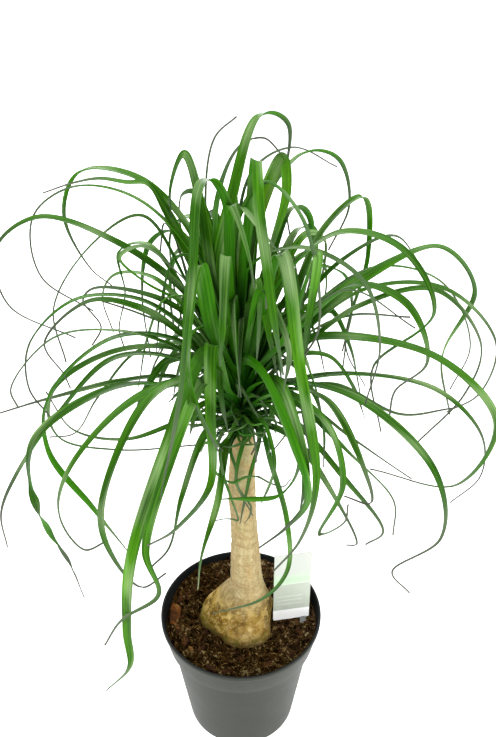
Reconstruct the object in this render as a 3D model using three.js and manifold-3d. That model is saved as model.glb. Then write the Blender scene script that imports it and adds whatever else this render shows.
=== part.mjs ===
// A ponytail palm in a plastic nursery pot: the pot, its soil, the swollen trunk, the head of long arching
// leaves and a plant label. Millimetres, +Z up. The origin is the middle of the pot's flat underside, and
// the label stands on the right as seen from the front, which is -Y.
import * as THREE from "three";
import * as BufferGeometryUtils from "three/addons/utils/BufferGeometryUtils.js";
import Module from "manifold-3d";

const wasm = await Module();
wasm.setup();

const clearance = 0.3; // between pieces that touch

// Pot: a tapered tub with a wider collar and a thick rim
const potHeight = 155;
const rimRadius = 85;
const collarFoot = 122; // height of the step under the collar
const collarRadius = 79; // at the step
const shoulderRadius = 75; // of the tub, just under the collar
const footRadius = 59;
const footRound = 3;
const wall = 1.6;
const rimThickness = 2.6;
const rimDepth = 5;
const floorThickness = 2.4;
const drainHoles = 6;
const drainRadius = 4.5;
const drainCircle = 38;

// Soil
const soilLevel = 141;
const soilLumps = 1.8; // how far the surface rises and falls
const soilBank = 8; // how much higher it lies against the back of the pot
const soilDip = 3; // how much lower it lies against the left
const chipCount = 34;
const chipField = 70; // furthest a chip lies from the middle

// Trunk: height, centre x and y, radius and how much its lobes stand out, from the root end upwards
const trunkTop = 403.6;
const trunkSections = [
  [97, 1, 0, 15, 0.04],
  [106, 0, 0, 25, 0.06],
  [118, -1, 0, 32, 0.07],
  [132, -2, -1, 36.5, 0.07],
  [147, -2.5, -1, 38, 0.07],
  [158, -1, 0, 36, 0.07],
  [168, 1, 1, 31.5, 0.06],
  [177, 3, 2, 27, 0.05],
  [186, 4.5, 2, 22.5, 0.03],
  [197, 6.5, 1, 18, 0.02],
  [215, 6, 1, 16, 0.02],
  [246, 5, 0, 14.4, 0.02],
  [288, 3.6, 0, 12.4, 0.02],
  [328, 1.6, 0, 12.8, 0.02],
  [360, 1.8, 0, 11.2, 0.02],
  [trunkTop, 2.5, 0, 10, 0.01],
];
const rootCount = 6;
const rootRadius = 4.6;

// Leaf head: the green stem tip that the leaves grow from
const stemTip = [
  [0, trunkTop + clearance],
  [9.6, trunkTop + clearance],
  [13, 410],
  [14, 420],
  [12, 430],
  [7, 437],
  [0, 440],
];
const stemTipX = 2.5;
const firstRoot = 409; // height of the lowest leaf's root
const rootSpacing = 0.38; // of height between two leaves whose ranks are one apart

// Label: a card on a stake, a little turned to the light
const cardWidth = 38.5;
const cardHeight = 98;
const cardThickness = 0.8;
const cardCorner = 1.5;
const cardFoot = 150; // height of the card's lower edge
const cardLeft = [34, -9.6]; // x and y of the card's lower left corner
const cardTurn = 9.4; // degrees
const stakeWidth = 6;
const stakePlace = 0.84; // of the card's width, from the left
const stakeFoot = 104;

// Each leaf is its width, its rank on the stem, from 410 for the lowest to 475 for the highest, then the
// points that it runs through
const leftLeaves = [
  [9.5, 455, [-39, 15, 595], [-77, 26, 634], [-125, 38, 635], [-142, 38, 597], [-124, 29, 553],
    [-106, 22, 540]],
  [8, 450, [-39, 5, 583], [-80, 8, 627], [-125, 10, 635], [-160, 9, 610], [-160, 6, 558], [-120, 0, 529]],
  [9, 440, [-43, -5, 549], [-95, -13, 600], [-148, -23, 625], [-180, -32, 605], [-178, -34, 555],
    [-131, -28, 521]],
  [7, 445, [-42, 24, 525], [-76, 44, 567], [-104, 60, 552], [-102, 60, 510], [-111, 64, 470],
    [-107, 62, 448]],
  [7, 440, [-42, -13, 541], [-72, -25, 571], [-89, -34, 598], [-72, -30, 605], [-40, -19, 568]],
  [6, 430, [-45, -13, 536], [-77, -22, 560], [-112, -32, 569], [-120, -34, 560], [-109, -31, 533],
    [-117, -34, 518]],
  [9, 430, [-45, -17, 525], [-80, -31, 560], [-123, -50, 570], [-156, -68, 545], [-162, -73, 505],
    [-150, -70, 474]],
  [7, 428, [-45, -22, 519], [-76, -37, 555], [-112, -54, 571], [-145, -70, 545], [-135, -66, 512],
    [-132, -65, 498]],
  [8, 425, [-46, -25, 515], [-97, -54, 538], [-144, -83, 506], [-150, -89, 455], [-120, -89, 390],
    [-96, -89, 339]],
  [5, 425, [-49, -9, 496], [-105, -22, 503], [-155, -34, 472], [-155, -36, 424], [-105, -36, 410],
    [-32, -36, 416]],
  [8.5, 420, [-48, -32, 503], [-97, -65, 526], [-136, -92, 496], [-175, -99, 440], [-195, -99, 395],
    [-196, -99, 356]],
  [7, 418, [-53, -4, 464], [-102, -10, 465], [-160, -19, 454], [-209, -29, 443]],
  [8, 415, [-50, -39, 482], [-100, -80, 508], [-150, -120, 492], [-157, -124, 430], [-138, -124, 362],
    [-131, -124, 321]],
  [7.5, 412, [-46, -47, 491], [-85, -87, 499], [-124, -130, 474], [-138, -132, 425], [-122, -132, 388],
    [-104, -132, 398]],
  [9, 412, [-35, -48, 496], [-68, -93, 508], [-98, -133, 460], [-105, -133, 400], [-80, -133, 345],
    [-59, -133, 362]],
  [10, 420, [-26, -51, 523], [-54, -105, 474], [-82, -148, 400], [-93, -148, 310], [-95, -148, 260],
    [-118, -148, 226]],
  [8.5, 415, [-26, -60, 503], [-53, -127, 470], [-72, -144, 400], [-65, -146, 350], [-95, -152, 328],
    [-113, -150, 292]],
  [3.5, 430, [-46, 2, 494], [-85, 3, 488], [-126, 4, 436], [-152, 5, 394], [-175, 6, 389]],
  [3.5, 432, [-44, 9, 499], [-84, 18, 515], [-120, 26, 524]],
  [4.5, 412, [-45, -16, 427], [-96, -35, 421], [-137, -50, 443], [-154, -56, 488]],
  [4.5, 445, [-38, 32, 520], [-54, 46, 573], [-62, 52, 583], [-68, 57, 553]],
  [3.5, 440, [-41, 3, 552], [-74, 6, 612], [-115, 8, 588], [-155, 11, 525], [-151, 11, 470]],
  [4.5, 430, [-44, -27, 507], [-93, -58, 548], [-135, -84, 558], [-166, -103, 527], [-163, -104, 509]],
  [10, 452, [-39, 6, 576], [-57, 8, 617], [-69, 10, 637], [-85, 12, 637], [-106, 15, 639],
    [-128, 18, 634], [-153, 22, 624]],
];
const topLeaves = [
  [10, 462, [-20, 2, 539], [-29, 3, 622], [-40, 6, 662], [-52, 9, 632], [-50, 10, 590], [-40, 8, 554]],
  [8.5, 455, [-7, -20, 560], [-6, -24, 605], [-8, -33, 640], [-16, -55, 668], [-23, -76, 676],
    [-26, -95, 672], [-27, -108, 660], [-28, -118, 642], [-30, -124, 622], [-35, -130, 583],
    [-41, -134, 535], [-58, -142, 453]],
  [12.5, 475, [-18, 3, 560], [-5, 9, 625], [15, 25, 684], [39, 52, 668], [38, 62, 605], [53, 66, 515]],
  [5.5, 470, [-16, 10, 534], [-18, 34, 610], [0, 56, 648], [20, 70, 650], [37, 80, 630]],
  [7.5, 468, [6, 3, 538], [20, 12, 620], [50, 31, 653], [80, 50, 640], [92, 60, 594], [76, 51, 558]],
  [3.5, 470, [-19, 0, 545], [-26, 14, 612], [-18, 23, 668], [-1, 28, 683]],
  [3.5, 468, [-3, 8, 560], [10, 33, 636], [43, 58, 647], [82, 78, 622]],
  [6, 470, [-3, -6, 543], [0, -20, 622], [22, -48, 664], [46, -70, 645], [58, -90, 570], [46, -94, 545]],
  [11, 470, [4, 5, 530], [14, 9, 605], [33, -6, 665], [35, -36, 650], [22, -54, 605], [21, -63, 570]],
  [8, 468, [2, -8, 540], [10, -25, 640], [13, -56, 683], [15, -88, 660], [19, -106, 638], [25, -120, 597],
    [32, -126, 555]],
  [8.5, 466, [-4, -4, 523], [-7, -17, 605], [-3, -44, 644], [8, -69, 619], [12, -78, 597]],
  [5, 464, [-5, -4, 542], [-9, -15, 617], [2, -43, 643], [20, -65, 631], [31, -80, 623]],
];
const frontLeaves = [
  [12, 452, [-19, -43, 530], [-29, -62, 606], [-36, -84, 562], [-34, -88, 510], [-16, -86, 451]],
  [9.5, 452, [-5, -28, 524], [-9, -44, 604], [-12, -57, 552], [-14, -66, 520]],
  [11, 440, [-11, -35, 477], [-20, -62, 537], [-22, -69, 480], [-24, -70, 400], [-48, -130, 410],
    [-65, -177, 440]],
  [11.5, 438, [-1, -14, 488], [19, -70, 515], [42, -108, 478], [54, -118, 430], [38, -116, 396],
    [17, -112, 369]],
  [10, 452, [15, -20, 514], [32, -66, 617], [44, -106, 550], [60, -118, 448], [50, -114, 380],
    [29, -108, 336]],
  [9.5, 452, [36, -56, 540], [55, -86, 628], [51, -78, 560], [49, -76, 495], [58, -90, 445]],
  [6, 414, [16, -25, 434], [27, -40, 399], [43, -40, 329], [45, -36, 255], [21, -35, 214],
    [-28, -35, 192]],
  [7, 413, [-9, -22, 410], [-20, -46, 355], [-34, -76, 318], [-38, -85, 286]],
  [7, 412, [-27, -43, 436], [-48, -77, 393], [-60, -95, 350], [-74, -118, 351]],
  [5, 413, [17, -24, 420], [9, -27, 370], [0, -28, 312]],
  [5, 414, [6, -22, 421], [-3, -27, 366], [12, -34, 328]],
  [5, 414, [24, -40, 462], [48, -86, 448], [35, -83, 402], [-15, -62, 376]],
  [9.5, 430, [14, -26, 473], [33, -75, 507], [52, -110, 452], [49, -112, 411]],
  [6, 450, [9, -31, 530], [18, -56, 582], [36, -104, 564], [34, -94, 517]],
];
const rightLeaves = [
  [10, 455, [39, 18, 507], [70, 30, 590], [100, 41, 612], [108, 41, 560], [94, 32, 475], [116, 38, 424]],
  [8, 445, [27, -11, 554], [75, -32, 617], [118, -56, 616], [143, -73, 573], [105, -58, 513],
    [115, -67, 456]],
  [5, 450, [6, -8, 570], [47, -48, 613], [88, -87, 607], [102, -96, 560], [97, -88, 500]],
  [6, 448, [43, 15, 513], [85, 26, 562], [128, 33, 581], [157, 33, 546]],
  [10.5, 445, [51, 4, 508], [102, 7, 558], [160, 8, 585], [194, 7, 545], [175, 7, 480], [190, 7, 415]],
  [8.5, 440, [48, -18, 522], [91, -36, 575], [128, -51, 566], [146, -61, 520], [125, -55, 488],
    [123, -55, 462]],
  [7.5, 436, [51, -9, 497], [97, -19, 546], [152, -32, 568], [191, -43, 525], [185, -42, 475],
    [153, -38, 420]],
  [6, 440, [51, -2, 507], [105, -5, 554], [165, -10, 556], [212, -15, 507], [205, -16, 455],
    [180, -16, 436]],
  [10, 428, [42, -24, 512], [90, -54, 539], [150, -90, 542], [192, -109, 500], [170, -109, 436],
    [102, -109, 453]],
  [8, 420, [39, -11, 462], [92, -26, 484], [160, -45, 482], [200, -57, 445], [206, -59, 400],
    [186, -53, 363]],
  [8.5, 418, [42, -33, 479], [95, -75, 494], [148, -117, 462], [162, -122, 390], [127, -122, 352],
    [144, -122, 325]],
  [8.5, 415, [41, -49, 486], [70, -82, 497], [98, -112, 452], [104, -118, 426], [86, -95, 411]],
  [10, 412, [39, -60, 489], [69, -105, 490], [80, -119, 445], [65, -119, 392], [84, -119, 405],
    [86, -119, 425]],
  [6, 410, [39, -37, 449], [86, -80, 418], [118, -108, 386], [107, -97, 357]],
  [6, 412, [47, -64, 444], [80, -107, 414], [95, -123, 386], [88, -114, 374]],
  [3.5, 415, [43, -25, 461], [95, -55, 438], [142, -82, 418]],
  [4.5, 432, [43, -6, 499], [89, -12, 532], [138, -19, 535]],
  [4.5, 435, [41, -23, 525], [85, -42, 574], [134, -60, 551]],
  [3.5, 440, [51, 7, 516], [110, 16, 561], [168, 24, 544], [204, 28, 475], [192, 27, 428]],
  [4.5, 418, [39, -14, 456], [80, -28, 474], [133, -48, 459], [173, -63, 477]],
  [5, 415, [43, -36, 463], [90, -80, 443], [122, -114, 425], [124, -120, 392]],
];

// The back of the head is filled by a rule, and so are the short curled leaves round the top of the trunk
const backLeafCount = 20;
const backHeadings = [28, 152]; // degrees, from +X towards +Y
const innerLeafCount = 16;
const claspReach = 0.27; // how far out and how far up, on the way to its first point, a leaf leaves the
const claspRise = 0.42; // others
const leafStep = 88; // longest length of a leaf, and most degrees of its bend, between two sections
const leafBend = 31;
const tipWidth = 1.1;
const bladeThickness = [1.7, 0.9]; // at the root and at the tip

// A repeatable random number between two limits
function makeDraw(seed) {
  let state = seed;
  return (low, high) => {
    state = (state * 1664525 + 1013904223) % 4294967296;
    return low + ((high - low) * state) / 4294967296;
  };
}

function smooth(value) {
  const t = Math.min(Math.max(value, 0), 1);
  return t * t * (3 - 2 * t);
}

function radians(degrees) {
  return (degrees * Math.PI) / 180;
}

// A closed solid from a three.js geometry
function toSolid(geometry) {
  const bare = geometry.clone();
  bare.deleteAttribute("normal");
  bare.deleteAttribute("uv");
  const welded = BufferGeometryUtils.mergeVertices(bare, 1e-4);
  const vertProperties = new Float32Array(welded.getAttribute("position").array);
  const triVerts = new Uint32Array(welded.getIndex().array);
  return new wasm.Manifold(new wasm.Mesh({ numProp: 3, vertProperties, triVerts }));
}

// The largest outer body of a joined solid, without loose scraps and with any sealed hollow filled
function mainBody(solid) {
  const bodies = solid.decompose();
  return bodies.reduce((best, body) => (body.volume() > best.volume() ? body : best));
}

function toMesh(name, solid, material) {
  const { vertProperties, triVerts } = solid.getMesh();
  const geometry = new THREE.BufferGeometry();
  geometry.setAttribute("position", new THREE.BufferAttribute(vertProperties, 3));
  geometry.setIndex(new THREE.BufferAttribute(triVerts, 1));
  geometry.computeVertexNormals();
  const mesh = new THREE.Mesh(geometry, material);
  mesh.name = name;
  return mesh;
}

// A profile of radius and height turned about the vertical axis
function turned(profile, segments) {
  const points = profile.map(([radius, height]) => new THREE.Vector2(radius, height));
  return new THREE.LatheGeometry(points, segments).rotateX(Math.PI / 2);
}

// Rings with the same number of points joined into one skin, with a flat cap on each end
function skinned(rings) {
  const sides = rings[0].length;
  const positions = rings.flat().flatMap((point) => [point.x, point.y, point.z]);
  const index = [];
  for (let ring = 0; ring + 1 < rings.length; ring += 1) {
    for (let side = 0; side < sides; side += 1) {
      const a = ring * sides + side;
      const b = ring * sides + ((side + 1) % sides);
      index.push(a, b, b + sides, a, b + sides, a + sides);
    }
  }
  const last = (rings.length - 1) * sides;
  for (let side = 1; side + 1 < sides; side += 1) {
    index.push(0, side + 1, side, last, last + side, last + side + 1);
  }
  const geometry = new THREE.BufferGeometry();
  geometry.setAttribute("position", new THREE.Float32BufferAttribute(positions, 3));
  geometry.setIndex(index);
  return geometry;
}

function makePot() {
  const innerFoot = footRadius - wall;
  const innerShoulder = shoulderRadius - wall;
  const innerCollar = collarRadius - wall;
  const innerRim = rimRadius - rimThickness;
  const round = 0.3 * footRound;
  const shell = turned(
    [
      [0, 0],
      [footRadius - footRound, 0],
      [footRadius - round, round],
      [footRadius, footRound],
      [shoulderRadius, collarFoot - 0.5],
      [collarRadius, collarFoot],
      [rimRadius - rimThickness + wall, potHeight - rimDepth - 1],
      [rimRadius, potHeight - rimDepth],
      [rimRadius, potHeight - 1],
      [rimRadius - 1, potHeight],
      [innerRim + 0.8, potHeight],
      [innerRim, potHeight - 1],
      [innerCollar, collarFoot + wall],
      [innerShoulder, collarFoot - wall],
      [innerFoot, floorThickness + 1],
      [innerFoot - 1, floorThickness],
      [0, floorThickness],
    ],
    48,
  );
  let pot = toSolid(shell);
  for (let hole = 0; hole < drainHoles; hole += 1) {
    const angle = (2 * Math.PI * hole) / drainHoles;
    const drill = new THREE.CylinderGeometry(drainRadius, drainRadius, 4 * floorThickness, 12);
    drill.rotateX(Math.PI / 2);
    drill.translate(drainCircle * Math.cos(angle), drainCircle * Math.sin(angle), 0);
    pot = pot.subtract(toSolid(drill));
  }
  return pot;
}

// The trunk with its swollen foot and its roots; spare makes the larger shape that its hole is cut with
function makeTrunk(spare) {
  const sides = 22;
  const rings = trunkSections.map(([height, x, y, radius, lobes], level) => {
    const top = level === trunkSections.length - 1;
    const rise = (level === 0 ? -spare : 0) + (top ? spare : 0);
    return Array.from({ length: sides }, (_, side) => {
      const angle = (2 * Math.PI * side) / sides;
      const wave = Math.cos(3 * (angle - radians(300))) + 0.45 * Math.sin(5 * angle + 0.08 * height);
      const reach = radius * (1 + lobes * wave) + spare;
      return new THREE.Vector3(x + reach * Math.cos(angle), y + reach * Math.sin(angle), height + rise);
    });
  });
  let trunk = toSolid(skinned(rings));
  const draw = makeDraw(11);
  for (let root = 0; root < rootCount; root += 1) {
    const heading = (2 * Math.PI * (root + draw(0.2, 0.8))) / rootCount;
    const reach = draw(38, 54);
    const depth = draw(38, 62);
    trunk = trunk.add(toSolid(makeRoot(heading, reach, depth, spare)));
  }
  return mainBody(trunk);
}

function makeRoot(heading, reach, depth, spare) {
  const steps = 5;
  const sides = 7;
  const out = new THREE.Vector3(Math.cos(heading), Math.sin(heading), 0);
  const across = new THREE.Vector3(-out.y, out.x, 0);
  const rings = Array.from({ length: steps + 1 }, (_, step) => {
    const t = step / steps;
    const end = step === steps ? spare : 0;
    const centre = out.clone().multiplyScalar(12 + (reach - 12) * t + end);
    centre.z = 120 - (120 - depth) * t ** 1.4 - end;
    const slope = new THREE.Vector3(out.x, out.y, -1.2).normalize();
    const lift = new THREE.Vector3().crossVectors(slope, across);
    const radius = rootRadius * (1.25 - 0.85 * t) + spare;
    return Array.from({ length: sides }, (_, side) => {
      const angle = (2 * Math.PI * side) / sides;
      const turnedOut = lift.clone().multiplyScalar(radius * Math.cos(angle));
      return turnedOut.addScaledVector(across, radius * Math.sin(angle)).add(centre);
    });
  });
  return skinned(rings.reverse());
}

function soilHeight(x, y) {
  const waves = Math.sin(0.16 * x + 0.5) * Math.cos(0.13 * y) + 0.6 * Math.sin(0.31 * x - 0.27 * y + 1.2);
  const bank = soilBank * smooth((y - 8) / 62);
  const dip = soilDip * smooth((-x - 58) / 18) * smooth((50 - y) / 30);
  return soilLevel + soilLumps * 0.6 * waves + bank - dip;
}

// Soil that fills the pot, with a lumpy top, chips of bark in it, and holes for the trunk and the stake
function makeSoil(trunkHole, stakeHole) {
  const inset = wall + clearance;
  const collarSlope = (rimRadius - rimThickness - collarRadius + wall) / (potHeight - collarFoot);
  const edge = collarRadius - inset + collarSlope * (soilLevel - 5 - collarFoot);
  const topRings = [0.985, 0.9, 0.77, 0.62, 0.46, 0.3, 0.14];
  const body = turned(
    [
      [0, floorThickness + clearance],
      [footRadius - inset - 1.2, floorThickness + clearance],
      [footRadius - inset, floorThickness + 1.5],
      [shoulderRadius - inset, collarFoot - wall],
      [collarRadius - inset, collarFoot + wall + clearance],
      [edge, soilLevel - 5],
      ...topRings.map((ring) => [ring * edge, soilLevel]),
      [0, soilLevel],
    ],
    32,
  );
  const place = body.getAttribute("position");
  for (let i = 0; i < place.count; i += 1) {
    if (place.getZ(i) > soilLevel - 1) {
      place.setZ(i, soilHeight(place.getX(i), place.getY(i)));
    }
  }
  let soil = toSolid(body);
  const draw = makeDraw(5);
  for (let chip = 0; chip < chipCount; chip += 1) {
    const heading = draw(0, 2 * Math.PI);
    const reach = chipField * Math.sqrt(draw(0.25, 1));
    const piece = new THREE.BoxGeometry(draw(3, 9), draw(2, 4.5), draw(2.5, 4));
    piece.rotateX(draw(-0.5, 0.5));
    piece.rotateY(draw(-0.4, 0.4));
    piece.rotateZ(draw(0, Math.PI));
    const x = reach * Math.cos(heading);
    const y = reach * Math.sin(heading);
    piece.translate(x, y, soilHeight(x, y) + 0.3);
    soil = soil.add(toSolid(piece));
  }
  return mainBody(soil.subtract(trunkHole).subtract(stakeHole));
}

// How wide a leaf is along its length: narrow where it clasps the stem, then full, then drawn out to a
// thin tip, which starts further out on a broad leaf than on a narrow one
function bladeWidth(width, t) {
  const full = width * (0.5 + 0.68 * smooth(t / 0.22) - 0.45 * t);
  const taper = 0.3 + 0.03 * width;
  return full + (tipWidth - full) * smooth((t - taper) / (1 - taper));
}

// The places along a curve where a leaf gets its sections, closer together where it bends
function sectionPlaces(curve) {
  const fine = 150;
  const share = curve.getLength() / fine / leafStep;
  const reached = [0];
  for (let i = 1; i <= fine; i += 1) {
    const bend = curve.getTangentAt((i - 1) / fine).angleTo(curve.getTangentAt(i / fine));
    reached.push(reached[i - 1] + share + bend / radians(leafBend));
  }
  const steps = Math.max(4, Math.ceil(reached[fine]));
  return Array.from({ length: steps + 1 }, (_, step) => {
    const place = reached.findIndex((value) => value >= (step / steps) * reached[fine] - 1e-9);
    return place / fine;
  });
}

// One leaf along its points: a strap with a flat upper face and a low keel under it
function makeLeaf(width, points, twist) {
  const curve = new THREE.CatmullRomCurve3(points, false, "centripetal");
  const middle = points[Math.floor(points.length / 2)];
  const heading = Math.atan2(middle.y, middle.x - stemTipX);
  const level = new THREE.Vector3(-Math.sin(heading), Math.cos(heading), 0);
  const rings = sectionPlaces(curve).map((t) => {
    const centre = curve.getPointAt(t);
    const along = curve.getTangentAt(t);
    const side = level.clone().addScaledVector(along, -level.dot(along)).normalize();
    side.applyAxisAngle(along, twist * t);
    const up = new THREE.Vector3().crossVectors(along, side);
    const half = bladeWidth(width, t) / 2;
    const thickness = bladeThickness[0] + (bladeThickness[1] - bladeThickness[0]) * t;
    return [
      centre.clone().addScaledVector(side, half).addScaledVector(up, 0.3 * thickness),
      centre.clone().addScaledVector(side, -half).addScaledVector(up, 0.3 * thickness),
      centre.clone().addScaledVector(up, -0.7 * thickness),
    ];
  });
  return toSolid(skinned(rings));
}

function rootOf(rank) {
  return firstRoot + rootSpacing * (rank - 410);
}

// The route of a leaf of the tables: its root is on the stem's axis, and it clasps the stem at first
function leafRoute([, rank, ...points]) {
  const rootHeight = rootOf(rank);
  const [x, y, z] = points[0];
  const root = new THREE.Vector3(stemTipX, 0, rootHeight);
  const clasp = new THREE.Vector3(
    stemTipX + claspReach * (x - stemTipX),
    claspReach * y,
    rootHeight + claspRise * (z - rootHeight),
  );
  return [root, clasp, ...points.map((point) => new THREE.Vector3(...point))];
}

// A leaf of the back: high roots rise more and reach less than low ones
function backLeafRoute(number, draw) {
  const [first, last] = backHeadings;
  const heading = radians(first + ((last - first) * (number + draw(0.1, 0.9))) / backLeafCount);
  const rank = draw(412, 468);
  const rootHeight = rootOf(rank);
  const height = (rank - 412) / 56;
  const rise = 58 + 125 * height + draw(-12, 12);
  const reach = 165 - 70 * height + draw(-18, 18);
  const drop = draw(70, 150);
  const turn = draw(-0.25, 0.25);
  const at = (out, up, swing) => {
    const angle = heading + turn * swing;
    return [stemTipX + out * Math.cos(angle), out * Math.sin(angle), rootHeight + up];
  };
  const points = [
    at(0.3 * reach, 0.72 * rise, 0.1),
    at(0.6 * reach, rise, 0.3),
    at(0.9 * reach, rise - 0.16 * drop, 0.6),
    at(reach, rise - 0.55 * drop, 0.9),
    at(0.93 * reach, rise - drop, 1.2),
  ];
  return leafRoute([0, rank, ...points]);
}

// A short thin leaf that curls close round the top of the trunk
function innerLeafRoute(number, draw) {
  const heading = 2 * Math.PI * ((number + draw(0, 1)) / innerLeafCount);
  const rank = draw(412, 450);
  const rootHeight = rootOf(rank);
  const reach = draw(26, 48);
  const curl = draw(-0.7, 0.7);
  const at = (out, up, swing) => {
    const angle = heading + curl * swing;
    return [stemTipX + out * Math.cos(angle), out * Math.sin(angle), rootHeight + up];
  };
  const points = [
    at(0.5 * reach, draw(8, 22), 0),
    at(reach, draw(-4, 16), 0.6),
    at(draw(0.8, 1.15) * reach, draw(-26, -6), 1.4),
  ];
  return leafRoute([0, rank, ...points]);
}

function makeLeafHead() {
  const tip = turned(stemTip, 14).translate(stemTipX, 0, 0);
  let head = toSolid(tip);
  const draw = makeDraw(29);
  for (const leaf of [...leftLeaves, ...topLeaves, ...frontLeaves, ...rightLeaves]) {
    head = head.add(makeLeaf(leaf[0], leafRoute(leaf), draw(-0.6, 0.6)));
  }
  for (let number = 0; number < backLeafCount; number += 1) {
    const route = backLeafRoute(number, draw);
    head = head.add(makeLeaf(draw(6, 9), route, draw(-0.6, 0.6)));
  }
  for (let number = 0; number < innerLeafCount; number += 1) {
    const route = innerLeafRoute(number, draw);
    head = head.add(makeLeaf(draw(2.5, 4), route, draw(-0.9, 0.9)));
  }
  return mainBody(head);
}

// The card and its stake, in one sheet; spare makes the larger shape that the slot is cut with
function stakeOutline(spare) {
  const middle = stakePlace * cardWidth;
  const half = stakeWidth / 2 + spare;
  const outline = new THREE.Shape();
  outline.moveTo(middle - half, cardFoot + 1);
  outline.lineTo(middle - half, stakeFoot + 6);
  outline.lineTo(middle, stakeFoot - 1.5 * spare);
  outline.lineTo(middle + half, stakeFoot + 6);
  outline.lineTo(middle + half, cardFoot + 1);
  outline.closePath();
  return outline;
}

function cardOutline() {
  const outline = new THREE.Shape();
  const r = cardCorner;
  outline.moveTo(r, cardFoot);
  outline.lineTo(cardWidth - r, cardFoot);
  outline.absarc(cardWidth - r, cardFoot + r, r, -Math.PI / 2, 0, false);
  outline.absarc(cardWidth - r, cardFoot + cardHeight - r, r, 0, Math.PI / 2, false);
  outline.absarc(r, cardFoot + cardHeight - r, r, Math.PI / 2, Math.PI, false);
  outline.absarc(r, cardFoot + r, r, Math.PI, 1.5 * Math.PI, false);
  return outline;
}

// A sheet cut to an outline and stood up where the label stands
function standingSheet(outline, thickness) {
  const settings = { depth: thickness, bevelEnabled: false, curveSegments: 4 };
  const sheet = new THREE.ExtrudeGeometry(outline, settings);
  sheet.translate(0, 0, -thickness / 2);
  sheet.rotateX(Math.PI / 2);
  sheet.rotateZ(radians(cardTurn));
  sheet.translate(cardLeft[0], cardLeft[1], 0);
  return toSolid(sheet);
}

function makeLabel() {
  return standingSheet(cardOutline(), cardThickness).add(standingSheet(stakeOutline(0), cardThickness));
}

function surface(color, roughness) {
  return new THREE.MeshStandardMaterial({ color, roughness, metalness: 0 });
}

const stakeHole = standingSheet(stakeOutline(clearance), cardThickness + 2 * clearance);
const palm = new THREE.Group();
palm.add(toMesh("pot", makePot(), surface(0x55585a, 0.55)));
palm.add(toMesh("soil", makeSoil(makeTrunk(clearance), stakeHole), surface(0x2b1c12, 0.95)));
palm.add(toMesh("trunk", makeTrunk(0), surface(0xb99a63, 0.85)));
palm.add(toMesh("leaf_head", makeLeafHead(), surface(0x2f7a1c, 0.5)));
palm.add(toMesh("plant_label", makeLabel(), surface(0xf2f2ee, 0.5)));

export default palm;
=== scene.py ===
import math

import bmesh
import bpy
from mathutils import Matrix, Vector, noise


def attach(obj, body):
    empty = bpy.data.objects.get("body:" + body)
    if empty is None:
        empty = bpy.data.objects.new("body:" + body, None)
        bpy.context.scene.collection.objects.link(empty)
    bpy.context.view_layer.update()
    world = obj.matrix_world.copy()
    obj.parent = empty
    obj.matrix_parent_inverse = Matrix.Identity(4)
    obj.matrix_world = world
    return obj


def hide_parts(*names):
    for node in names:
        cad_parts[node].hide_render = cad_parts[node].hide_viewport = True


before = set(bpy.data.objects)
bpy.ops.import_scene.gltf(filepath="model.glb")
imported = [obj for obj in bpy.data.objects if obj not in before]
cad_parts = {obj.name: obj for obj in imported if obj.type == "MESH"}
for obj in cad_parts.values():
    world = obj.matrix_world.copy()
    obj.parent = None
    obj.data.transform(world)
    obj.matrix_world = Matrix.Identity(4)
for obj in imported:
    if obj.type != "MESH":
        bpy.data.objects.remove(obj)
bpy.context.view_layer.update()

# Pot: one moulded tub of thin grey plastic with a wide collar, a thick rolled rim and six drain holes in
# its floor. It is turned here from its profile, with the holes bored through the floor. The rim's top and
# the inside are painted darker than the outside: painted shade, with the outside as the lit side.
MM = 0.001
POT_PROFILE = [  # radius and height, from the middle of the underside over the rim to the middle of the floor
    (0, 0.6), (52, 0.6), (53, 0), (56, 0), (57.2, 0.25), (58.2, 0.9), (58.8, 1.8), (59.05, 3),
    (62.4, 28), (65.7, 53), (69, 78), (72.3, 103), (74.4, 119), (74.75, 121.2), (75.2, 121.8),
    (78.2, 122.1), (78.9, 122.5), (79.15, 123.4), (81.2, 134), (83.1, 144), (83.9, 148.6), (84.5, 149.1),
    (84.9, 149.9), (85, 151), (85, 153.2), (84.8, 154.2), (84.2, 154.85), (83.6, 155), (82.9, 154.8),
    (82.45, 154.1), (82.3, 153), (81.6, 147), (79.6, 136), (77.5, 123.9), (77.1, 123.1), (74.2, 121.4),
    (73.5, 120.3), (72.6, 115), (65.3, 60), (57.6, 4), (57, 3), (56, 2.5), (0, 2.4),
]
POT_STEPS = 160
DRAIN_HOLES = 6
DRAIN_CIRCLE = 38
DRAIN_RADIUS = 4.5
DRILL_LENGTH = 12
DRILL_SIDES = 28
COLLAR_FOOT = 122  # height at which the tub steps out into its collar
TUB_RADIUS = 59  # the outside at the foot, and how much it widens with each millimetre of height
TUB_SLOPE = 16 / 121.5
COLLAR_RADIUS = 79  # the same for the collar
COLLAR_SLOPE = 5 / 27
SKIN_DEPTH = 0.8  # how deep the outside's colour reaches
RIM_LEVEL = 154.5
FLOOR_LEVEL = 2
SHARP_ANGLE = 40
POT_GREY = "#2d3029"
POT_GREY_LIGHT = "#33362f"
# the charcoal of the painted shade inside the pot and on the rim's top
POT_SHADED_CHARCOAL = "#15191a"


def tint(code):
    """The linear colour of a screen colour such as #808080."""
    shares = [int(code[i:i + 2], 16) / 255 for i in (1, 3, 5)]
    return [s / 12.92 if s < 0.04045 else ((s + 0.055) / 1.055) ** 2.4 for s in shares] + [1]


def node(tree, kind, inputs=None, **settings):
    """A shader node with its settings, and with its inputs set or linked."""
    made = tree.nodes.new("ShaderNode" + kind)
    for name, value in settings.items():
        setattr(made, name, value)
    for name, value in (inputs or {}).items():
        if isinstance(value, bpy.types.NodeSocket):
            tree.links.new(value, made.inputs[name])
        else:
            made.inputs[name].default_value = value
    return made


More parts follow.
